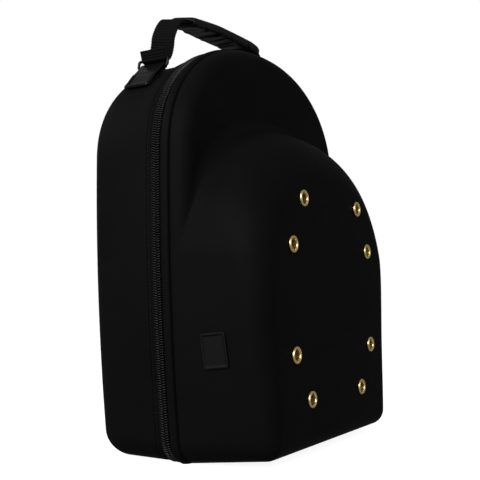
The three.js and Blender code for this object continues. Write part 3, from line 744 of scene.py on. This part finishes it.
def ring_at(inset, floor, y, drop=0.0):
    points = outline(inset, floor, drop)
    return np.column_stack([points[:, 0], np.full(len(points), y), points[:, 1]])


def front_shell_body():
    """Outside from the middle to the rim, over the round rim, and back along the inside."""
    outer = front_rings(0.0, OUTER_ROWS)[::-1]
    turn = np.linspace(0, math.pi / 2, RIM_STEPS + 1)[1:]
    over = [FRONT_RIM_INSET * (1 - math.cos(angle)) for angle in turn]
    rim = [ring_at(inset, inset, RIM_ROUND * (math.sin(a) - 1)) for inset, a in zip(over, turn)]
    inner = front_rings(WALL, INNER_ROWS)
    inner[0] = ring_at(WALL, WALL, 0.0)
    return capped(np.concatenate([outer, rim, inner]))


def back_side_rings(wall, rows, edge_rows):
    """Rings of the back shell from behind its rim to the edge of its rear face."""
    edge = BACK_EDGE_RADIUS - wall
    edge_y = BACK_REAR_Y - BACK_EDGE_RADIUS
    rings = []
    for y in np.linspace(BACK_RIM_Y + RIM_ROUND, edge_y, rows, endpoint=False):
        behind = smoothstep(y, BACK_RIM_Y + RIM_ROUND, BACK_RIM_Y + BACK_DROP_REACH)
        drop = BACK_DROP_RIM + (BACK_DROP_BEHIND - BACK_DROP_RIM) * behind
        rings.append(ring_at(wall + math.tan(BACK_DRAFT) * (y - BACK_RIM_Y - RIM_ROUND), wall, y, drop))
    start = wall + math.tan(BACK_DRAFT) * (edge_y - BACK_RIM_Y)
    for angle in np.linspace(0, math.pi / 2, edge_rows + 1):
        turned = edge * (1 - math.cos(angle))
        y = edge_y + edge * math.sin(angle)
        rings.append(ring_at(start + turned, wall + turned, y, BACK_DROP_BEHIND))
    return np.array(rings)


def back_shell_body():
    """Rear face to rim along the outside, then back along the inside."""
    outer = back_side_rings(0.0, BACK_SIDE_ROWS, BACK_EDGE_ROWS)
    rear = hub_rings(outer[-1], BACK_FACE_ROWS, BACK_REAR_Y)
    turn = np.linspace(0, math.pi / 2, RIM_STEPS + 1)[1:]
    rim = []
    for angle in turn:
        inset = RIM_ROUND * (1 - math.cos(angle))
        rim.append(ring_at(inset, inset, BACK_RIM_Y + RIM_ROUND * (1 - math.sin(angle)), BACK_DROP_RIM))
    inner = back_side_rings(WALL, BACK_INNER_ROWS["side"], BACK_INNER_ROWS["edge"])
    inner[0] = ring_at(WALL, WALL, BACK_RIM_Y, BACK_DROP_RIM)
    inner_rear = hub_rings(inner[-1], BACK_INNER_ROWS["face"], BACK_REAR_Y - WALL)
    return capped(np.concatenate([rear[::-1], outer[::-1], rim, inner, inner_rear]))


def eyelet_seats():
    """Where each eyelet sits: down the right half, then down the left."""
    return [front_point(side * x, z) for side in (1, -1) for x, z in EYELET_PLACES]


def axes_along(normal):
    """Three directions at right angles, the last along the normal."""
    across = np.cross((0, 0, 1), normal)
    across /= np.linalg.norm(across)
    return np.array([across, np.cross(normal, across), normal])


def lathed(profile, closed=False):
    """A round body about the z axis, from a profile of (radius, height)."""
    points, faces = bar([(height, radius, radius) for radius, height in profile], EYELET_SIDES, closed)
    return points[:, [1, 2, 0]], faces


def drill_eyelets(shell, seats):
    """Cut the eyelets' holes through the front shell."""
    drill = lathed([(EYELET_HOLE, -DRILL_REACH), (EYELET_HOLE, DRILL_REACH)])
    places = np.array([place for place, _ in seats])
    axes = np.array([axes_along(normal) for _, normal in seats])
    drills = linked("drills", meshed("drills", stamped(drill, places, axes), smooth=False))
    cut = shell.modifiers.new("holes", "BOOLEAN")
    cut.operation = "DIFFERENCE"
    cut.object = drills
    holed = bpy.data.meshes.new_from_object(shell.evaluated_get(bpy.context.evaluated_depsgraph_get()))
    shell.modifiers.clear()
    shell.data = holed
    bpy.data.objects.remove(drills)


front_shell = add_piece("front_shell_cloth", front_shell_body(), SHELL_CLOTH, ["front_shell"])
drill_eyelets(front_shell, eyelet_seats())
add_piece("back_shell_cloth", back_shell_body(), SHELL_CLOTH, ["back_shell"])


# Bead, tapes and zipper

RIM = outline(0, 0)
RIM_NORMALS = outwards(RIM)


def bead_body():
    """The bead is round outside, and its inner side lies against the front shell's edge."""
    across, up = section(28, (0.85, 0.85))
    offsets = BEAD_OFFSET + BEAD_HALF_HEIGHT * up
    seated = BEAD_SEAT * np.clip(-up, 0, 1) * np.clip(-across, 0, 1)
    depths = BEAD_Y + BEAD_HALF_WIDTH * across - seated
    return swept(rim_band(RIM, RIM_NORMALS, offsets, depths), closed=True)


def back_tape_edge(path, normals):
    """Offset of the back tape's edge, which follows the back shell's lower arch."""
    over_arch = np.clip((path[:, 1] - SHOULDER_Z) / (HEIGHT - SHOULDER_Z), 0, 1)
    return BACK_TAPE_LOW - BACK_DROP_RIM * over_arch * np.maximum(normals[:, 1], 0)


def tape_body(low, low_y, rise, high_y):
    """A cloth tape from a shell's edge, raised under the zipper's teeth and low over the hinge strip."""
    y = np.linspace(low_y, high_y, TAPE_STEPS)
    low = np.broadcast_to(low, len(RIM))[:, None]
    raised = low + (TAPE_RAISED - low) * smoothstep(y, *rise)
    past_hinge = np.abs(RIM[:, 0]) - HINGE["half_length"]
    over_hinge = (RIM[:, 1] < HINGE["low"]) * (1 - smoothstep(past_hinge, 0, HINGE_MARGIN))
    raised += (TAPE_LOW - raised) * over_hinge[:, None]
    depths = np.concatenate([y, y[::-1]])
    offsets = np.concatenate([raised, raised[:, ::-1] - TAPE_THICKNESS], axis=1)
    return swept(rim_band(RIM, RIM_NORMALS, offsets, depths), closed=True)


def zipper_path(step):
    """Points and outward directions along the zipper, from the right foot over the top to the left."""
    first = COLUMNS["bottom"]
    path = resampled(RIM[first : len(RIM) - first + 1], step)
    return path, outwards(path, closed=False)


def along_zipper(path, normals, y, offset):
    """Places on the zipper at one depth and offset, with directions along it and outwards."""
    places = np.column_stack([path[:, 0], np.full(len(path), y), path[:, 1]])
    places[:, [0, 2]] += normals * offset
    up = np.column_stack([normals[:, 0], np.zeros(len(path)), normals[:, 1]])
    along = np.column_stack([-normals[:, 1], np.zeros(len(path)), normals[:, 0]])
    return places, along, up


def coil_body():
    """Two rows of small nylon teeth that reach into each other."""
    stations = [(share * TOOTH_LENGTH, width, height) for share, width, height in TOOTH_STATIONS]
    template = bar(stations, 8)
    fine, fine_normals = zipper_path(TOOTH_PITCH / 2)
    rows = []
    for first, side in ((0, 1), (1, -1)):
        path = fine[first::2]
        normals = fine_normals[first::2]
        y = TAPE_MEETING_Y - side * TOOTH_REACH
        places, along, up = along_zipper(path, normals, y, TOOTH_OFFSET)
        places[:, 2] = np.maximum(places[:, 2], TOOTH_FLOOR)
        across = np.array([0, side, 0]) * math.cos(TOOTH_SLANT) + along * math.sin(TOOTH_SLANT)
        beside = np.cross(up, across)
        rows.append(stamped(template, places, np.stack([across, beside, up], axis=1)))
    return joined(*rows)


def stitch_template(length, radius):
    return bar([(along * length, wide * radius, wide * radius) for along, wide in STITCH_STATIONS], 6)


def tape_stitches():
    """A row of thread along the back tape's edge."""
    path, normals = zipper_path(STITCH_PITCH)
    offset = back_tape_edge(path, normals)[:, None] + STITCH_LIFT
    places, along, up = along_zipper(path, normals, STITCH_ROW_Y, offset)
    axes = np.stack([along, np.cross(up, along), up], axis=1)
    return stamped(stitch_template(STITCH_LENGTH, STITCH_RADIUS), places, axes)


def hinge_body():
    """Cloth hinge under the bottom, in the stretch that the zipper leaves free."""
    x = np.linspace(-HINGE["half_length"], HINGE["half_length"], HINGE_STEPS)
    path = np.column_stack([x, np.full(HINGE_STEPS, (HINGE["low"] + HINGE["high"]) / 2)])
    half_width = (HINGE["rear"] - HINGE["front"]) / 2
    half_thick = (HINGE["high"] - HINGE["low"]) / 2
    middle = (HINGE["rear"] + HINGE["front"]) / 2
    return swept(ribbon(path, half_width, half_thick, section(24, (0.2, 0.5)), middle))


def slider_body():
    """Slider with its bridge and pull, drawn at the origin: x outwards, z up along the zipper."""
    across, up = section(20, (0.5, 0.6))
    rings = [
        np.column_stack([PLATE_HEIGHT + high * up, wide * across, np.full(len(up), along)])
        for along, wide, high in PLATE_STATIONS
    ]
    turn = np.linspace(0, math.pi, 15)
    arch_x = BRIDGE["foot"] + BRIDGE["rise"] * np.sin(turn)
    arch = np.column_stack([arch_x, BRIDGE["half_length"] * np.cos(turn)])
    bridge = ribbon(arch, BRIDGE["half_width"], BRIDGE["half_thick"], section(12, (0.4, 0.6)), 0.0)
    straight = PULL["straight"]
    rounding = straight - PULL["end"]
    end = np.linspace(straight, PULL["end"], 12)[1:]
    hang = np.concatenate([np.linspace(PULL["top"], straight, 40), end])
    round_end = np.sqrt(np.maximum(1 - (np.maximum(straight - hang, 0) / rounding) ** 2, 0.02))
    neck = PULL["neck"] + PULL["widening"] * smoothstep(-hang, *PULL_WIDENING_Z)
    lift = PULL_LIFT["low"] + PULL_LIFT["more"] * smoothstep(hang, PULL_LIFT["from"], PULL["top"])
    pull_path = np.column_stack([lift, hang])
    pull = ribbon(pull_path, neck * round_end, PULL["half_thick"], section(16, (0.4, 0.6)), 0.0)
    return joined(swept(np.array(rings)), swept(bridge), swept(pull))


def placed_slider():
    points, faces = slider_body()
    lean = side_lean(SLIDER_Z)
    turn = np.array([[math.cos(lean), 0, -math.sin(lean)], [0, 1, 0], [math.sin(lean), 0, math.cos(lean)]])
    return points @ turn + (side_x(SLIDER_Z), TAPE_MEETING_Y, SLIDER_Z), faces


add_piece("rim_bead_cloth", bead_body(), SHELL_CLOTH, ["rim_bead"])
front_tape_body = tape_body(TAPE_LOW, GAP, FRONT_TAPE_RISE, TAPE_MEETING_Y - GAP / 2)
back_edge = back_tape_edge(RIM, RIM_NORMALS)
back_tape_body = tape_body(back_edge, BACK_RIM_Y - GAP, BACK_TAPE_RISE, TAPE_MEETING_Y + GAP / 2)
front_tape = add_piece("zipper_tape_front_cloth", front_tape_body, TAPE_CLOTH, ["zipper_tape_front"])
back_tape = add_piece("zipper_tape_back_cloth", back_tape_body, TAPE_CLOTH, ["zipper_tape_back"])
add_piece("zipper_coil_teeth", coil_body(), COIL_NYLON, ["zipper_coil"])
add_piece("zipper_stitches", tape_stitches(), THREAD, [], "zipper_tape")
hinge = add_piece("hinge_strip_cloth", hinge_body(), TAPE_CLOTH, ["hinge_strip"])
add_piece("zipper_slider_metal", placed_slider(), BLACK_METAL, ["zipper_slider"])


# Eyelets and side patch


def eyelet_body():
    """A crimped eyelet about the z axis: rolled flange outside, barrel through the wall, flange inside."""
    middle = (EYELET_FLANGE + EYELET_BORE) / 2
    half = (EYELET_FLANGE - EYELET_BORE) / 2
    roll = np.linspace(math.pi, 0, 13)
    crown = EYELET_CROWN - EYELET_ROLL_HEIGHT
    profile = [(EYELET_BORE, height) for height in (EYELET_END, -2.0, 0.2)]
    profile += [(middle + half * math.cos(a), EYELET_ROLL_HEIGHT + crown * math.sin(a)) for a in roll]
    return lathed(profile + EYELET_BACK, closed=True)


def rounded_rectangle(half_width, half_height, corner, steps):
    """Points round a rectangle with round corners."""
    points = []
    for quarter, (right, top) in enumerate([(1, 1), (-1, 1), (-1, -1), (1, -1)]):
        angles = math.pi / 2 * (quarter + np.linspace(0, 1, steps + 1))
        x = right * (half_width - corner) + corner * np.cos(angles)
        y = top * (half_height - corner) + corner * np.sin(angles)
        points.append(np.column_stack([x, y]))
    return np.concatenate(points)


def patch_body():
    """Patch with a raised round border: x outwards, y along its width, z up."""
    border = PATCH["border"]
    levels = [
        (0.0, GAP),
        (0.0, PATCH_RIM - 0.5),
        (0.15, PATCH_RIM - 0.15),
        (0.5, PATCH_RIM),
        (border - 0.6, PATCH_RIM),
        (border - 0.25, PATCH_RIM - 0.15),
        (border, PATCH_RIM - 0.5),
        (border + 0.1, PATCH_FLOOR + 0.2),
        (border + 0.5, PATCH_FLOOR),
        (border + 0.9, PATCH_FLOOR),
        (border + 2.5, PATCH_FLOOR),
    ]
    rings = []
    for inset, height in levels:
        corner = max(PATCH["corner"] - inset, 0.5)
        points = rounded_rectangle(PATCH["width"] / 2 - inset, PATCH["height"] / 2 - inset, corner, 6)
        rings.append(np.column_stack([np.full(len(points), height), points]))
    return swept(np.array(rings))


def placed_patch():
    points, faces = patch_body()
    place, normal = front_point(math.tan(DRAFT) * PATCH["depth"] - side_x(PATCH["z"]), PATCH["z"])
    up = np.array([0, 0, 1]) - normal * normal[2]
    up /= np.linalg.norm(up)
    along = np.cross(up, normal)
    turned_along = along * math.cos(PATCH_TURN) + up * math.sin(PATCH_TURN)
    turned_up = up * math.cos(PATCH_TURN) - along * math.sin(PATCH_TURN)
    return points @ np.array([normal, turned_along, turned_up]) + place, faces


for number, (place, normal) in enumerate(eyelet_seats(), 1):
    points, faces = eyelet_body()
    placed = (points @ axes_along(normal) + place, faces)
    add_piece(f"eyelet_{number}_brass", placed, BRASS, [f"eyelet_{number}"])
add_piece("side_patch_rubber", placed_patch(), RUBBER, ["side_patch"])


# Carry handle


def shoulder(x):
    """Place and outward direction, in x and z, on the back shell's right shoulder."""
    inset = math.tan(BACK_DRAFT) * (STRAP_Y - STRAP_WIDTH / 2 - BACK_RIM_Y - RIM_ROUND)
    half_width = HALF_WIDTH - inset
    rise = HEIGHT - SHOULDER_Z - inset - BACK_DROP_BEHIND
    up = rise * (1 - (x / half_width) ** ARCH_POWER) ** (1 / ARCH_POWER)
    across = x ** (ARCH_POWER - 1) / half_width**ARCH_POWER
    upwards = up ** (ARCH_POWER - 1) / rise**ARCH_POWER
    normal = np.array([across, upwards]) / math.hypot(across, upwards)
    return np.array([x, SHOULDER_Z + up]), normal


BAR_PLACE, BAR_NORMAL = shoulder(BAR_X)
LOWER_BAR = BAR_PLACE + BAR_NORMAL * (GAP + WIRE_RADIUS + WIRE_PLAY + TAB_LAYER + BAR_LIFT)
BAR_TO_BAR = np.array([-math.sin(RING_LEAN), math.cos(RING_LEAN)])
UPPER_BAR = LOWER_BAR + RING_SPAN * BAR_TO_BAR


def strap_path():
    """The strap over the handle's top, each end turned back round its ring's upper bar."""
    right = UPPER_BAR + np.array(STRAP_TURN)
    points = np.concatenate([right * (-1, 1), STRAP_ROUTE, right[::-1]])
    return resampled(curve_through(points), STRAP_STEP)


def twisted(rings):
    """The handle's near end stands higher at its back edge than at its front."""
    above_ring = smoothstep(rings[..., 2], *LEG_ROLL_Z) * (rings[..., 0] > 1 - UPPER_BAR[0])
    near_end = 1 - smoothstep(rings[..., 0], *LEG_ROLL_X)
    rings[..., 2] += LEG_ROLL * (rings[..., 1] - STRAP_Y) * above_ring * near_end
    return rings


def webbing_body(path):
    """Ribbed webbing: a row of soft cords across its width."""
    along, from_end = along_evenly(path)
    groove = 1 - np.abs(np.sin(math.pi * along / RIB_PITCH)) ** GROOVE_POWER
    from_tip = smoothstep(from_end, END_RIBS["from"], END_RIBS["to"])
    groove *= END_RIBS["share"] + (1 - END_RIBS["share"]) * from_tip
    from_squeeze = (from_end - END_SQUEEZE["place"]) / END_SQUEEZE["reach"]
    squeezed = END_SQUEEZE["depth"] * np.exp(-(from_squeeze**2))
    half_thick = STRAP_THICKNESS / 2 - RIB_HEIGHT * groove
    half_width = STRAP_WIDTH / 2 - squeezed - GROOVE_EDGE_SHARE * RIB_HEIGHT * groove
    middle = STRAP_Y - squeezed[:, None]
    return swept(twisted(ribbon(path, half_width, half_thick, band_section(0.08, 14), middle)))


def grip_body(path):
    """Padded sleeve round the strap, gathered into folds underneath."""
    along, from_end = along_evenly(path)
    swell = np.sqrt(1 - (1 - np.clip(from_end / GRIP_END["round"], 0, 1)) ** 2)
    half_thick = GRIP_END["half_thick"] + (GRIP["thickness"] / 2 - GRIP_END["half_thick"]) * swell
    half_width = GRIP_END["half_width"] + (GRIP["width"] / 2 - GRIP_END["half_width"]) * swell
    shape = section(GRIP_SIDES, (0.4, 0.62))
    rings = ribbon(path, half_width, half_thick, shape)
    angles = np.linspace(0, 2 * math.pi, GRIP_SIDES, endpoint=False)
    chance = np.random.default_rng(FOLD_SEED)
    folds = np.zeros(rings.shape[:2])
    for _ in range(FOLDS):
        middle = chance.uniform(0.04, 0.96) * along[-1]
        facing = chance.normal(1.5 * math.pi, 0.55)
        width = chance.uniform(1.2, 2.6)
        depth = chance.uniform(0.35, 1.0)
        slant = chance.normal(0.0, 3.0)
        spread = chance.uniform(0.35, 0.8)
        turned = (angles - facing + math.pi) % (2 * math.pi) - math.pi
        beside = along[:, None] - middle - slant * turned[None, :]
        fade = np.exp(-((turned / spread) ** 2))[None, :] * swell[:, None]
        folds -= depth * np.exp(-((beside / width) ** 2)) * fade
        past_ridge = (beside - FOLD_RIDGE["place"] * width) / width
        folds += FOLD_RIDGE["share"] * depth * np.exp(-(past_ridge**2)) * fade
    folds = np.clip(folds, *FOLD_LIMITS)
    across, up = shape
    rings[..., 1] += across[None, :] * folds
    return swept(twisted(lifted(rings, path, up[None, :] * folds)))


def ring_body(side):
    """Wire ring: a rectangle with round corners, standing on the tab."""
    path = rounded_rectangle(RING_WIDTH / 2, RING_SPAN / 2, RING_CORNER, 10)
    normals = outwards(path)
    middle = (LOWER_BAR + UPPER_BAR) / 2
    off_plane = np.array([BAR_TO_BAR[1], -BAR_TO_BAR[0]])
    angles = np.linspace(0, 2 * math.pi, 14, endpoint=False)
    in_plane = WIRE_RADIUS * np.cos(angles)
    up = path[:, None, 1] + normals[:, None, 1] * in_plane
    places = middle + up[..., None] * BAR_TO_BAR + WIRE_RADIUS * np.sin(angles)[None, :, None] * off_plane
    y = STRAP_Y + RING_SHIFT + path[:, None, 0] + normals[:, None, 0] * in_plane
    return swept(np.stack([side * places[..., 0], y, places[..., 1]], axis=2), closed=True)


def tab_path():
    """The right tab from its lower end up over the ring's bar and back down underneath."""
    downhill = np.array([BAR_NORMAL[1], -BAR_NORMAL[0]])
    low_place, low_normal = shoulder(TAB_LOW_X)
    low_downhill = np.array([low_normal[1], -low_normal[0]])
    fold_middle = low_place + low_normal * (GAP + TAB_LAYER)
    turns = [(math.cos(a), math.sin(a)) for a in np.radians([-60, -20, 20, 60])]
    fold = [fold_middle + TAB_LAYER / 2 * (low_downhill * c + low_normal * s) for c, s in turns]
    low_x = np.linspace(TAB_LOW_X - 0.6, TAB_TOP_X, 8)
    rise = TAB_RISE * np.maximum(TAB_FLAT_X - low_x, 0) / (TAB_FLAT_X - BAR_X)
    heights = GAP + 1.5 * TAB_LAYER + rise
    over = [place + normal * high for (place, normal), high in zip(map(shoulder, low_x), heights)]
    radius = WIRE_RADIUS + WIRE_PLAY + TAB_LAYER / 2
    angles = np.radians(np.linspace(60, 270, 9))
    loop = [LOWER_BAR + radius * (downhill * math.cos(a) + BAR_NORMAL * math.sin(a)) for a in angles]
    under = [place + normal * (GAP + TAB_LAYER / 2) for place, normal in map(shoulder, low_x[::-1])]
    return resampled(curve_through(fold + over + loop + under), TAB_STEP)


def tab_body(side):
    """A folded tab with a raised hem round its top layer."""
    path = tab_path() * (side, 1)
    along, from_end = along_evenly(path)
    into_corner = np.clip(from_end, 0.02, TAB_CORNER)
    half_width = STRAP_WIDTH / 2 - TAB_CORNER + np.sqrt(TAB_CORNER**2 - (TAB_CORNER - into_corner) ** 2)
    shape = band_section(0.05, 40)
    rings = ribbon(path, half_width, TAB_LAYER / 2 - 0.04, shape)
    from_edge = (half_width[:, None] * (1 - np.abs(shape[0]))[None, :]).clip(0)
    into = np.minimum(along[:, None], from_edge)
    hem = TAB_HEM_HEIGHT * np.sin(math.pi * np.clip(into / TAB_HEM, 0, 1))
    seam = TAB_SEAM_DEPTH * np.exp(-(((into - TAB_HEM) / TAB_SEAM_WIDTH) ** 2))
    on_top = (np.abs(shape[1]) > 0.99) & (shape[1] * side < 0)
    fading = np.clip((TAB_REACH - along) / TAB_HEM, 0, 1)
    relief = (hem - seam) * on_top[None, :] * fading[:, None]
    return swept(lifted(rings, path, -side * relief))


def tab_stitches(side):
    """Thread round the tab's edge, over its top layer."""
    path = tab_path()
    along = distances(path)
    pitch = TAB_STITCH["pitch"]
    half = STRAP_WIDTH / 2 - TAB_HEM
    lengthwise = np.arange(TAB_HEM, TAB_REACH, pitch)
    crosswise = np.arange(-half + pitch / 2, half, pitch)
    spots = [(s, y, True) for s in lengthwise for y in (-half, half)]
    spots += [(s, y, False) for y in crosswise for s in (TAB_HEM, TAB_REACH)]
    normals = -outwards(path, closed=False)
    places = []
    axes = []
    for s, y, runs_along in spots:
        x, z = (np.interp(s, along, path[:, k]) for k in range(2))
        nx, nz = (np.interp(s, along, normals[:, k]) for k in range(2))
        normal = np.array([nx, 0, nz]) * np.sign(nz)
        run = np.array([normal[2], 0, -normal[0]]) if runs_along else np.array([0, 1.0, 0])
        places.append(np.array([x, STRAP_Y + y, z]) + normal * TAB_LAYER / 2)
        axes.append(np.array([run, np.cross(normal, run), normal]))
    stitch = stitch_template(TAB_STITCH["length"], TAB_STITCH["radius"])
    points, faces = stamped(stitch, np.array(places), np.array(axes))
    return points * (side, 1, 1), faces


route = strap_path()
webbing = add_piece("handle_webbing_cloth", webbing_body(route), WEBBING, ["handle_webbing"])
inside_grip = (route[:, 0] > GRIP["start"]) & (route[:, 0] < GRIP["end"]) & (route[:, 1] > GRIP_LOW_Z)
grip_path = resampled(route[inside_grip], GRIP_STEP)
grip = add_piece("handle_grip_padding", grip_body(grip_path), GRIP_SATIN, ["handle_grip"])
for name, side in (("near", -1), ("far", 1)):
    add_piece(f"ring_{name}_wire", ring_body(side), BLACK_METAL, [f"ring_{name}"])
    tab = add_piece(f"tab_{name}_leather", tab_body(side), TAB_GLOSS, [f"tab_{name}"])
    add_piece(f"tab_{name}_stitches", tab_stitches(side), THREAD, [], "tab_gloss")


# Camera, light and floor


def add_camera():
    lens = bpy.data.cameras.new("camera")
    lens.lens = CAMERA_LENS
    lens.sensor_width = CAMERA_SENSOR
    lens.clip_start = 0.01
    camera = linked("camera", lens)
    level = math.cos(CAMERA_PITCH)
    ahead = (math.sin(CAMERA_HEADING) * level, math.cos(CAMERA_HEADING) * level, math.sin(CAMERA_PITCH))
    camera.rotation_euler = Vector(ahead).to_track_quat("-Z", "Y").to_euler()
    camera.location = Vector(CAMERA_PLACE) * MM + Vector((0, RIM_DEPTH * MM, 0))
    bpy.context.scene.camera = camera


def add_floor():
    """A white floor that the camera sees and the case doesn't mirror."""
    mesh = bpy.data.meshes.new("floor")
    corners = [(x * FLOOR_REACH, y * FLOOR_REACH, 0) for x, y in ((-1, -1), (1, -1), (1, 1), (-1, 1))]
    mesh.from_pydata(corners, [], [(0, 1, 2, 3)])
    material, tree, shader = new_material("floor")
    set_inputs(tree, shader, {"Base Color": (0.5, 0.5, 0.5, 1), "Roughness": 0.9, "Specular IOR Level": 0.0})
    set_inputs(tree, shader, {"Emission Color": (1, 1, 1, 1), "Emission Strength": FLOOR_GLOW})
    mesh.materials.append(material)
    floor = linked("floor", mesh)
    floor.visible_diffuse = False
    floor.visible_glossy = False


def add_light(name, place, energy):
    """A square soft box that faces the case."""
    light = bpy.data.lights.new(name, "AREA")
    light.energy = energy
    light.size = LIGHT_SIZE
    lamp = linked(name, light)
    lamp.location = place
    lamp.rotation_euler = (Vector(LIGHT_AIM) - Vector(place)).to_track_quat("-Z", "Y").to_euler()


def add_world():
    """Soft light from all round, in front of a white backdrop."""
    world = bpy.data.worlds.new("studio")
    world.use_nodes = True
    tree = world.node_tree
    seen = node(tree, "ShaderNodeLightPath").outputs["Is Camera Ray"]
    strength = node(tree, "ShaderNodeMapRange", {0: seen, 3: ROOM_LIGHT, 4: BACKDROP_LIGHT}).outputs[0]
    set_inputs(tree, tree.nodes["Background"], {"Color": (1, 1, 1, 1), "Strength": strength})
    bpy.context.scene.world = world


add_camera()
add_floor()
add_world()
for name, (place, energy) in LIGHTS.items():
    add_light(name, place, energy)
bpy.context.scene.view_settings.view_transform = "Standard"
